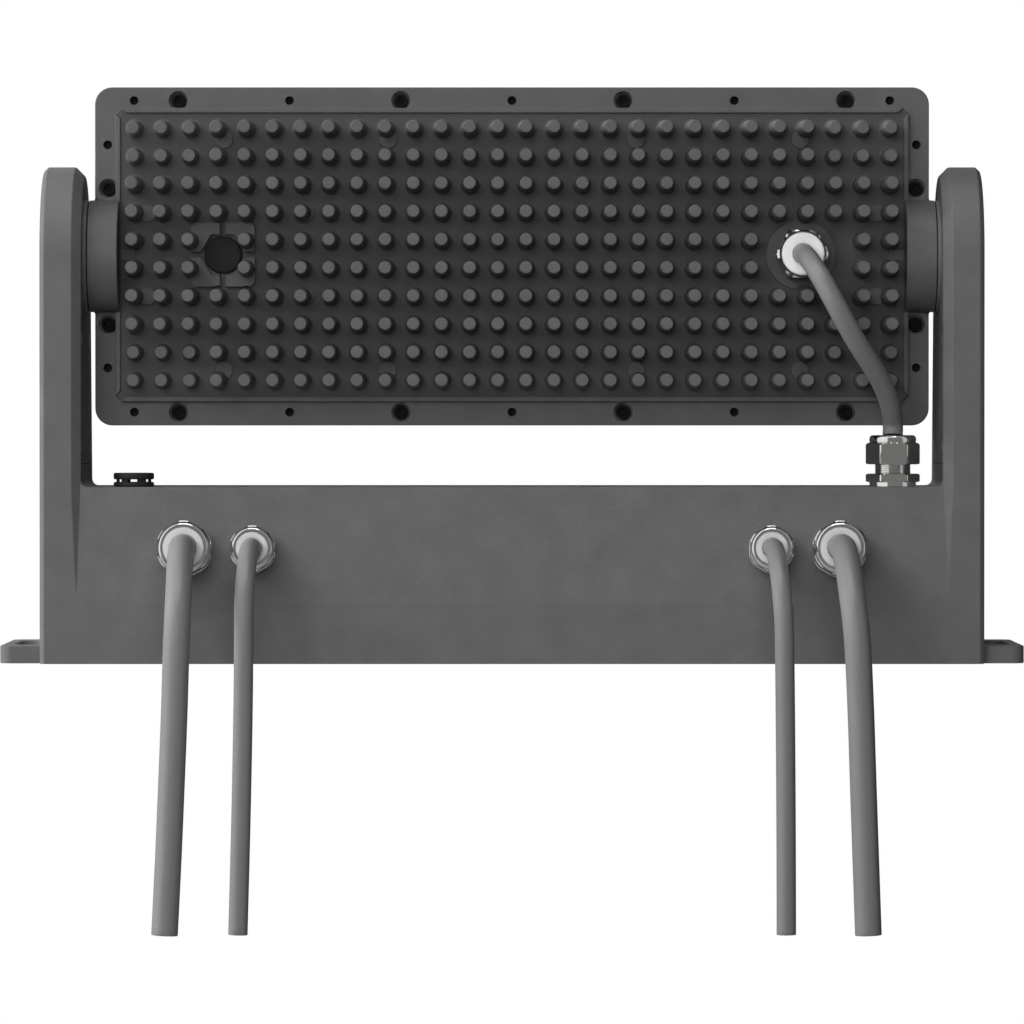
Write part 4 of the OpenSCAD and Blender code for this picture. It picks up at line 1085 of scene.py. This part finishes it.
def gland_parts(width, corner, thread, height, cable, lip=2.6 * MM):
    """Meshes of a gland's body, nut and seal, standing on Z = 0. The corner is how far the nut is
    turned down at its corners, and the lip is the width of the nut's rim round its mouth."""
    collar_top, hexagon_top, neck_top, nut_foot = 2.1 * MM, 6 * MM, 10.4 * MM, 10.35 * MM
    dome, seal_depth, turns = 3.3 * MM, 8 * MM, 5
    half, reach = width / 2, width / math.sqrt(3) - corner
    outline = hexagon_reach(width, reach)
    bore = cable + 0.4 * MM
    # Body: round collar, hexagon with chamfered corners, threaded neck
    collar = mesh_from("gland_collar", turned([
        (bore, 0), (half - 0.45 * MM, 0), (half - 0.25 * MM, 0.2 * MM),
        (half - 0.25 * MM, collar_top), (bore, collar_top)], 72))
    hexagon = mesh_from("gland_hexagon", turned([
        (bore, collar_top), (reach - 0.9 * MM, collar_top),
        (reach - 0.2 * MM, collar_top + 0.4 * MM), (width, collar_top + 0.5 * MM),
        (width, hexagon_top - 0.5 * MM), (reach - 0.2 * MM, hexagon_top - 0.4 * MM),
        (reach - 0.9 * MM, hexagon_top), (bore, hexagon_top)], 120, outline))
    top = height - seal_depth
    root, crest = thread - 0.55 * MM, thread - 0.2 * MM
    pitch = (neck_top - hexagon_top) / turns
    neck = [(bore, hexagon_top - 0.1 * MM)]
    for k in range(turns):
        neck += [(radius, hexagon_top + pitch * (k + share)) for radius, share in (
            (root, 0.1), (crest, 0.45), (crest, 0.6), (root, 0.95))]
    neck += [(thread - 0.25 * MM, neck_top + 0.1 * MM), (thread - 0.25 * MM, top), (bore, top)]
    threads = mesh_from("gland_neck", turned(neck, 72))
    # Nut: hexagon with rounded top corners under a domed ring
    rim = height - dome
    ring, mouth, inner = half - 0.2 * MM, half - lip, thread - 0.16 * MM
    nut = mesh_from("gland_nut", turned([
        (inner, nut_foot), (reach - 0.8 * MM, nut_foot), (reach - 0.1 * MM, nut_foot + 0.35 * MM),
        (width, nut_foot + 0.45 * MM), (width, rim - 1.1 * MM),
        (reach - 0.15 * MM, rim - 1.0 * MM), (reach - 0.7 * MM, rim - 0.45 * MM),
        (ring + 0.05 * MM, rim - 0.1 * MM), (ring - 0.35 * MM, rim + 0.05 * MM),
        (ring, rim + 0.3 * MM), (ring, height - 1.5 * MM), (ring - 0.1 * lip, height - 0.8 * MM),
        (ring - 0.27 * lip, height - 0.3 * MM), (ring - 0.5 * lip, height),
        (mouth + 0.1 * lip, height), (mouth, height - 0.25 * MM), (mouth, top), (inner, top)],
        120, outline))
    # Seal: a sleeve that bulges slightly out of the mouth
    outside, inside = mouth - 0.03 * MM, cable + 0.02 * MM
    sleeve = mesh_from("gland_seal", turned([
        (inside, top + 0.1 * MM), (outside, top + 0.1 * MM), (outside, height - 0.5 * MM),
        (mouth - 0.5 * MM, height - 0.15 * MM), (cable + 0.9 * MM, height - 0.1 * MM),
        (cable + 0.25 * MM, height - 0.35 * MM), (inside, height - 0.9 * MM)], 72))
    return [collar, hexagon, threads], nut, sleeve


class WASHLIGHT_OT_glands(Operator):
    """Makes the six cable glands: bodies, dome nuts and seals"""

    bl_idname = "washlight.glands"
    bl_label = "Cable glands"

    turned_down, jumper_corner = 0.055, 0.19 * MM  # share of the width, and a length
    mains_thread, data_thread, jumper_thread = 10 * MM, 8 * MM, 8.5 * MM
    thin_lip = 1.3 * MM

    def execute(self, context):
        glands, cables = settings().glands, settings().cables
        mains = (glands.mains_width, self.turned_down * glands.mains_width, self.mains_thread,
                 GLAND_HEIGHTS["mains"], cables.mains_diameter / 2)
        data = (glands.data_width, self.turned_down * glands.data_width, self.data_thread,
                GLAND_HEIGHTS["data"], cables.data_diameter / 2)
        jumper = (glands.jumper_width, self.jumper_corner, self.jumper_thread,
                  GLAND_HEIGHTS["jumper"], cables.jumper_diameter / 2)
        seats = [
            (sizes, facing((side * x, REAR_SEAT_Y, REAR_SEAT_Z), WALL_OUT))
            for side in SIDES for sizes, x in ((mains, MAINS_X), (data, DATA_X))]
        turn = Matrix.Rotation(math.pi / 6, 4, "Z")
        seats.append((jumper, Matrix.Translation(JUMPER_SEAT) @ turn))
        self.add_set("", seats, "base", ("gland_bodies", "gland_nuts", "gland_seals"))
        land = Vector((FITTING_X, FIELD_Y - LAND_RISE, HINGE.z + FIELD_UP))
        seats = [((*jumper, self.thin_lip), facing(land, (0, -1, 0), math.pi / 6))]
        self.add_set("head_", seats, "head",
                     ("head_gland_body", "head_gland_nut", "head_gland_seal"))
        return {"FINISHED"}

    @staticmethod
    def add_set(prefix, seats, body, nodes):
        bodies, nuts, seals = [], [], []
        for sizes, matrix in seats:
            metal, nut, sleeve = gland_parts(*sizes)
            bodies += [(mesh, matrix) for mesh in metal]
            nuts.append((nut, matrix))
            seals.append((sleeve, matrix))
        merge(prefix + "gland_turned_bodies", bodies, body, "nickel", nodes[0])
        merge(prefix + "gland_dome_nuts", nuts, body, "nickel", nodes[1])
        sleeves = merge(prefix + "gland_sleeves", seals, body, "seal", nodes[2])
        if body == "head":
            sleeves.data.materials[0] = finish_of("white_seal")


class WASHLIGHT_OT_heatsink(Operator):
    """Makes the rear casting of the head, its pin fins and its vent plug"""

    bl_idname = "washlight.heatsink"
    bl_label = "Heatsink"

    corner_radius, step_radius, step_foot = 8 * MM, 3 * MM, 5 * MM
    lip_in, lip_t, lip_trim, lip_rise = 9.7 * MM, 2.3 * MM, 1.5 * MM, 4 * MM
    lip_foot, lip_gap, lip_soft = 5.7 * MM, 2.6 * MM, 0.4 * MM
    root = 1 * MM  # how deep the raised shapes of the field start
    soft = 0.3 * MM  # rounding of their edges
    head_hole, shank_hole, shank_start, cut_from = 4.3 * MM, 2.2 * MM, 4 * MM, 5 * MM
    small_hole, small_flare = 2 * MM, 0.2 * MM
    gland_hole, vent_pocket, vent_hole = 8.54 * MM, 9.3 * MM, 5.94 * MM
    boss_radius, boss_rise = 4.1 * MM, 1.6 * MM
    hub_pad, hub_pad_half, hub_pad_rise = (175.6 * MM, 182.4 * MM), 2.6 * MM, 0.9 * MM
    hub_radius, hub_start, hub_end, hub_fillet = 26 * MM, 182.6 * MM, 196.5 * MM, 1.1 * MM
    land_radius, vent_rise = 16.3 * MM, 5 * MM
    gland_clearance, vent_clearance = 5.1 * MM, 4.9 * MM  # from the middle of a pin
    keep_gland, keep_vent = 17 * MM, 10 * MM  # no pins nearer than this

    def execute(self, context):
        casting = self.add_casting()
        hand_over(casting, "head", "housing_dark", "heatsink")
        self.paint_shade_on_field(casting.data)
        self.add_pins()
        self.add_vent_plug()
        return {"FINISHED"}

    def add_casting(self):
        piece = solid("heatsink_casting", self.build_plate)
        cut_away(piece, solid("cutters", self.build_cutters))
        with editing(piece.data) as bm:
            for build in (self.build_lip, self.build_hubs, self.build_bosses,
                          self.build_gland_land, self.build_vent_land):
                raised = mesh_from("raised", build)
                bm.from_mesh(raised)
                bpy.data.meshes.remove(raised)
        shade_softly(piece.data)
        return even_normals(piece)

    def paint_shade_on_field(self, mesh):
        """Paints shade on the field between the pins: its faces get a darker copy of the head's coat."""
        mesh.materials.append(finish_of("painted_shade_coat"))
        half_w, half_h = (size / 2 for size in self.lip_size(self.lip_t))
        for face in mesh.polygons:
            x, y, z = face.center
            on_field = face.normal.y < -0.9 and abs(y - FIELD_Y) < 0.1 * MM
            if on_field and abs(x) < half_w and abs(z - HINGE.z - FIELD_UP) < half_h:
                face.material_index = 1

    def lip_size(self, inset=0.0):
        return (2 * (HALF_W - self.lip_in - inset),
                2 * (HALF_H - self.lip_in - inset) - self.lip_trim)

    def build_plate(self, bm):
        """Flange with rounded corners, and the step of the field inside the lip."""
        flange = rounded_rectangle(2 * HALF_W, 2 * HALF_H, self.corner_radius, 10)
        head_prism(bm, flange, FLANGE_Y, FLANGE_FRONT_Y, soft=settings().casting.edge_round)
        step = rounded_rectangle(*self.lip_size(0.5 * MM), self.step_radius)
        head_prism(bm, step, FIELD_Y, self.step_foot, FIELD_UP, self.soft)

    @staticmethod
    def build_hole(bm, x, z, radius, front_y, flare=0.3 * MM):
        """Cutter of a round hole in the flange, whose rear mouth is softened."""
        levels = [(FLANGE_Y - CUTTER_CLEAR, radius + flare), (FLANGE_Y, radius + flare),
                  (FLANGE_Y + 0.3 * flare, radius + 0.3 * flare), (FLANGE_Y + flare, radius),
                  (front_y, radius)]
        loft(bm, [
            [(px, y, HINGE.z + pz) for px, pz in disc_outline(x, z, reach, 48)]
            for y, reach in levels])

    def build_cutters(self, bm):
        through = FLANGE_FRONT_Y + MM
        for x, z in HEAD_SCREWS:
            head_prism(bm, disc_outline(x, z, self.shank_hole), self.shank_start, through)
            self.build_hole(bm, x, z, self.head_hole, SCREW_SEAT_Y)
        for x, z in SMALL_HOLES:
            self.build_hole(bm, x, z, self.small_hole, through, self.small_flare)
        before = FIELD_Y - self.cut_from
        head_prism(bm, disc_outline(FITTING_X, FIELD_UP, self.gland_hole, 48), before, through)
        corner = self.vent_pocket / math.cos(math.pi / 6)
        head_prism(bm, disc_outline(-FITTING_X, FIELD_UP, corner, 6), before, self.root)
        vent = disc_outline(-FITTING_X, FIELD_UP, self.vent_hole)
        head_prism(bm, vent, 0.5 * self.root, through)

    def build_bosses(self, bm):
        """Low round bosses of the board screws, and a small pad beside each hub."""
        for x, z in BOSSES:
            boss = disc_outline(x, z, self.boss_radius)
            head_prism(bm, boss, FIELD_Y - self.boss_rise, self.root, soft=self.soft)
        up = self.hub_pad_half
        for side in SIDES:
            inner, outer = (side * x for x in self.hub_pad)
            pad = [(inner, -up), (outer, -up), (outer, up), (inner, up)]
            head_prism(bm, pad, FIELD_Y - self.hub_pad_rise, self.root, FIELD_UP, self.soft)

    def build_lip(self, bm):
        """Drain lip in four straight runs, with a gap at each corner."""
        half_w, half_h = (size / 2 for size in self.lip_size())
        rear = FLANGE_Y - self.lip_rise
        for side in SIDES:
            for reach, end, upright in ((half_h, half_w, False), (half_w, half_h, True)):
                outer, inner = side * reach, side * (reach - self.lip_t)
                far, near = end - self.lip_gap, end - self.lip_gap - self.lip_t
                run = [(-far, outer), (far, outer), (near, inner), (-near, inner)]
                if upright:
                    run = [(z, x) for x, z in run]
                head_prism(bm, run, rear, self.lip_foot, FIELD_UP, self.lip_soft)

    def build_hubs(self, bm):
        """Round hubs at both ends, with a small fillet where they leave the flange."""
        reach, start, end, fillet = self.hub_radius, self.hub_start, self.hub_end, self.hub_fillet
        stations = ((start, reach - 0.6 * MM), (start + 0.2 * MM, reach - 0.2 * MM),
                    (start + 0.6 * MM, reach), (end - 0.35 * MM, reach),
                    (end - 0.1 * MM, reach - 0.1 * MM), (end, reach - 0.35 * MM))
        across, up = HALF_W, reach - 0.1 * MM
        web = [(across - MM, up - MM), (across + fillet, up - MM)]
        web += [(across + fillet * (1 - math.sin(turn)), up + fillet * (1 - math.cos(turn)))
                for turn in (math.pi / 2 * k / 6 for k in range(7))]
        web.append((across - MM, up + fillet))
        for side in SIDES:
            loft(bm, [
                [(side * x, y, HINGE.z + z) for y, z in circle(radius, 96)]
                for x, radius in stations])
            for way in SIDES:
                outline = [(side * x, way * z) for x, z in web]
                head_prism(bm, outline, FLANGE_Y, FLANGE_FRONT_Y)

    @staticmethod
    def notched(points, clearances):
        """Moves the points of an outline out of the round clearances."""
        moved = []
        for x, z in points:
            for cx, cz, radius in clearances:
                away = math.hypot(x - cx, z - cz)
                if away < radius:
                    x = cx + (x - cx) * radius / away
                    z = cz + (z - cz) * radius / away
            moved.append((x, z))
        return moved

    def build_gland_land(self, bm):
        """Round land under the head gland, cleared round the pins above and below."""
        pins = [(pin_x(c), pin_z(r), self.gland_clearance) for c in (23, 24, 25) for r in (3, 6)]
        land = disc_outline(FITTING_X, FIELD_UP, self.land_radius, 180)
        head_prism(bm, self.notched(land, pins), FIELD_Y - LAND_RISE, self.root, soft=self.soft)

    def build_vent_land(self, bm):
        """Four pads round the vent's hexagonal pocket, cleared round the pins beside them."""
        cleared = [(c, r) for c in (2, 3, 4) for r in (3, 6)] + [(2, 4), (2, 5)]
        pins = [(pin_x(c), pin_z(r), self.vent_clearance) for c, r in cleared]
        half, cut, slot, hexagon, spacing = 15 * MM, 2 * MM, 1.25 * MM, 9.35 * MM, 0.5 * MM
        flat_end = hexagon / math.sqrt(3)
        corners = [
            (slot, half), (slot, hexagon), (flat_end, hexagon),
            (2 * flat_end - slot / math.sqrt(3), slot),
            (half, slot), (half, half - cut), (half - cut, half)]
        points = []
        for a, b in zip(corners, corners[1:] + corners[:1]):
            steps = max(1, round(math.dist(a, b) / spacing))
            points += [(a[0] + (b[0] - a[0]) * k / steps, a[1] + (b[1] - a[1]) * k / steps)
                       for k in range(steps)]
        for sx in SIDES:
            for sz in SIDES:
                pad = [(-FITTING_X + sx * x, FIELD_UP + sz * z) for x, z in points]
                head_prism(bm, self.notched(pad, pins), FIELD_Y - self.vent_rise, self.root,
                           soft=self.soft)

    def add_pins(self):
        """The field of tapered pins, left out under the gland and the vent."""
        fins = settings().fins
        places, shares = [], []
        for column in range(fins.columns):
            for row in range(fins.rows):
                x, z = pin_x(column), pin_z(row)
                up = abs(z - FIELD_UP)
                over_vent = math.hypot(x + FITTING_X, up) < self.keep_vent
                if over_vent or abs(x - FITTING_X) < self.keep_gland and up < self.keep_vent:
                    continue
                corner = min(column, fins.columns - 1 - column) < 3 and min(
                    row, fins.rows - 1 - row) < 2
                places.append((x, FIELD_Y, HINGE.z + z))
                shares.append((1, 1, fins.short_length / fins.length if corner else 1))
        root, tip, length = fins.root_radius, fins.tip_radius, fins.length
        slope = (root - tip) / length
        unit = mesh_from("pin", closed_turned([
            (root + 0.9 * MM, -0.1 * MM), (root + 0.05 * MM, 0.6 * MM),
            (tip + slope * 0.45 * MM, length - 0.45 * MM), (tip - 0.12 * MM, length - 0.13 * MM),
            (tip - 0.45 * MM, length)], fins.sides))
        spread("pin_fins", unit, places, (math.pi / 2, 0, 0), "housing_dark", "head", "heatsink",
               shares=shares)

    @staticmethod
    def add_vent_plug():
        """Flat round plug with a dished face, in the hexagonal pocket."""
        profile = [
            (8.3 * MM, -0.9 * MM), (8.7 * MM, -0.5 * MM), (8.7 * MM, 1.5 * MM),
            (8.45 * MM, 2.0 * MM), (8.0 * MM, 2.2 * MM), (6.9 * MM, 2.2 * MM),
            (6.6 * MM, 2.05 * MM), (3 * MM, 2.0 * MM)]
        face = mesh_from("vent_face", closed_turned(profile, 72))
        stem = mesh_from("vent_stem", closed_turned([(5.9 * MM, -7 * MM), (5.9 * MM, 0)], 48))
        matrix = facing((-FITTING_X, FIELD_Y, HINGE.z + FIELD_UP), (0, -1, 0))
        merge("vent_plug", [(face, matrix), (stem, matrix)], "head", "black_plastic",
              "head_vent_plug")


def socket_screw(name, shank, length, head, height):
    """Socket cap screw: chamfered head with a recess, shank downwards from Z = 0."""
    key = 0.55 * head
    return mesh_from(name, closed_turned([
        (shank * 0.8, -length), (shank, -length + 0.3 * MM), (shank, 0), (head, 0),
        (head, height - 0.35 * MM), (head - 0.35 * MM, height), (key + 0.15 * MM, height),
        (key, height - 0.15 * MM), (key * 0.92, height * 0.45)], 24))


def sunk_screw(name, shank, length):
    """Countersunk socket screw, its face at Z = 0 and its tip towards -Z."""
    head, thread, face = 2 * shank, shank - 0.04 * MM, -0.02 * MM
    return mesh_from(name, closed_turned([
        (shank * 0.8, -length), (thread, -length + 0.3 * MM), (thread, -shank),
        (head - 0.25 * MM, -0.15 * MM), (head - 0.35 * MM, face), (shank, face),
        (0.85 * shank, -0.2 * MM), (0.8 * shank, -0.6 * shank)], 24))


class WASHLIGHT_OT_screws(Operator):
    """Sets the visible screws: head, arm covers, base plate and bezel"""

    bl_idname = "washlight.screws"
    bl_label = "Screws"

    cover_face = 198.5 * MM  # inner face of the arm covers
    cover_arc = 30.7 * MM  # upper two screws of a cover, from the tilt axis
    cover_low = ((-29, 150), (31, 150), (-29, 100), (35, 100))
    plate_columns, plate_rows = (-207, -70, 70, 207), (-30.5, 51.5)
    bezel_in = 3.5 * MM  # from the edge of the bezel

    def execute(self, context):
        socket = socket_screw("head_screw", 2 * MM, 10 * MM, 3.4 * MM, 3.4 * MM)
        head = [(x, SCREW_SEAT_Y, HINGE.z + z) for x, z in HEAD_SCREWS]
        spread("head_socket_screws", socket, head, (math.pi / 2, 0, 0), "black_screw", "head",
               "head_screws")
        cover = [
            (self.cover_arc * math.cos(turn), HINGE.z + self.cover_arc * math.sin(turn))
            for turn in (math.radians(48), math.radians(132))]
        cover += [(y * MM, z * MM) for y, z in self.cover_low]
        for side, name in ((-1, "left"), (1, "right")):
            spread("cover_screws_" + name, sunk_screw("cover_screw", 1.5 * MM, 9 * MM),
                   [(side * self.cover_face, y, z) for y, z in cover],
                   (0, -side * math.pi / 2, 0), "steel", "base", "arm_cover_screws")
        plate = [(x * MM, y * MM, 0) for x in self.plate_columns for y in self.plate_rows]
        spread("plate_screws", sunk_screw("plate_screw", 2 * MM, 12 * MM), plate,
               (math.pi, 0, 0), "steel", "base", "base_plate_screws")
        low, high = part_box("glass_bezel")
        across, up = high.x - self.bezel_in, (high.z - low.z) / 2 - self.bezel_in
        bezel = [(x, high.y, HINGE.z + side * up) for x in BEZEL_COLUMNS for side in SIDES]
        bezel += [(side * across, high.y, HINGE.z + z) for side in SIDES for z in BEZEL_ROWS]
        spread("bezel_socket_screws", sunk_screw("bezel_screw", 1.5 * MM, 9 * MM), bezel,
               (-math.pi / 2, 0, 0), "steel", "head", "bezel_screws")
        return {"FINISHED"}


class WASHLIGHT_OT_front(Operator):
    """Rounds the front frame and bezel, and makes the lenses"""

    bl_idname = "washlight.front"
    bl_label = "Front"

    frame_edge, bezel_edge = 0.45 * MM, 0.2 * MM
    columns, rows, pitch = 11, 4, 29 * MM
    lens_radius, lens_foot = 13.5 * MM, 5 * MM
    emitter_gap, carrier = 1.7 * MM, 2.5 * MM  # below the lenses, and the carrier's thickness

    def execute(self, context):
        bezel = [(0, x) for x in BEZEL_COLUMNS] + [(2, HINGE.z + z) for z in BEZEL_ROWS]
        screws = [(0, x) for x in SCREW_COLUMNS] + [(2, HINGE.z + z) for z in SCREW_ROWS]
        rounded_copy("frame_casting", "front_frame", "head", self.frame_edge, bezel + screws)
        rounded_copy("bezel_plate", "glass_bezel", "head", self.bezel_edge, bezel)
        self.add_lenses()
        return {"FINISHED"}

    def add_lenses(self):
        """Collimator lenses on their clear carrier, one over each emitter."""
        low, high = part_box("lens_array")
        radius, foot = self.lens_radius, self.lens_foot
        start = low.y + self.emitter_gap
        depth = high.y - self.carrier - start
        profile = [(foot * 0.55, 1.2 * MM), (foot * 0.6, 0), (foot, 0)]
        for share in (k / 8 for k in range(1, 9)):
            profile.append((foot + (radius - foot) * share ** 0.72, depth * share))
        profile += [(radius, depth + 0.4 * MM), (radius * 0.96, depth + 1.0 * MM)]
        for share in (k / 6 for k in range(1, 6)):
            crown = (1.0 + 1.4 * math.sin(share * math.pi / 2)) * MM
            profile.append((radius * (0.96 - 0.9 * share), depth + crown))
        unit = mesh_from("lens", closed_turned(profile, 32))
        places = [
            ((column - (self.columns - 1) / 2) * self.pitch, start,
             HINGE.z + ((self.rows - 1) / 2 - row) * self.pitch)
            for column in range(self.columns) for row in range(self.rows)]
        spread("lens_cups", unit, places, (-math.pi / 2, 0, 0), "lens", "head", "lens_array")


class WASHLIGHT_OT_finishes(Operator):
    """Gives every remaining solid its finish"""

    bl_idname = "washlight.finishes"
    bl_label = "Finishes"

    def execute(self, context):
        for node in NODES:
            dress(node)
        return {"FINISHED"}


class WASHLIGHT_PT_panel(Panel):
    """Lists the steps and their settings"""

    bl_label = "Wash light"
    bl_idname = "WASHLIGHT_PT_panel"
    bl_space_type = "VIEW_3D"
    bl_region_type = "UI"
    bl_category = "Wash light"

    def draw(self, context):
        groups = context.scene.wash_light
        for step in STEPS:
            self.layout.operator(step.bl_idname)
        for name in ("casting", "fins", "glands", "cables", "stage"):
            box = self.layout.box()
            box.label(text=name.capitalize())
            group = getattr(groups, name)
            for key in group.__annotations__:
                box.prop(group, key)


STEPS = [
    WASHLIGHT_OT_stage, WASHLIGHT_OT_cables, WASHLIGHT_OT_base, WASHLIGHT_OT_glands,
    WASHLIGHT_OT_heatsink, WASHLIGHT_OT_screws, WASHLIGHT_OT_front, WASHLIGHT_OT_finishes]
CLASSES = [
    CastingSettings, FinSettings, GlandSettings, CableSettings, StageSettings,
    WashLightSettings, *STEPS, WASHLIGHT_PT_panel]


def register():
    for cls in CLASSES:
        bpy.utils.register_class(cls)
    bpy.types.Scene.wash_light = PointerProperty(type=WashLightSettings)


def unregister():
    del bpy.types.Scene.wash_light
    for cls in reversed(CLASSES):
        bpy.utils.unregister_class(cls)


def main():
    register()
    bpy.ops.washlight.stage()
    bpy.ops.washlight.cables()
    bpy.ops.washlight.base()
    bpy.ops.washlight.glands()
    bpy.ops.washlight.heatsink()
    bpy.ops.washlight.screws()
    bpy.ops.washlight.front()
    bpy.ops.washlight.finishes()


if __name__ == "__main__":
    main()
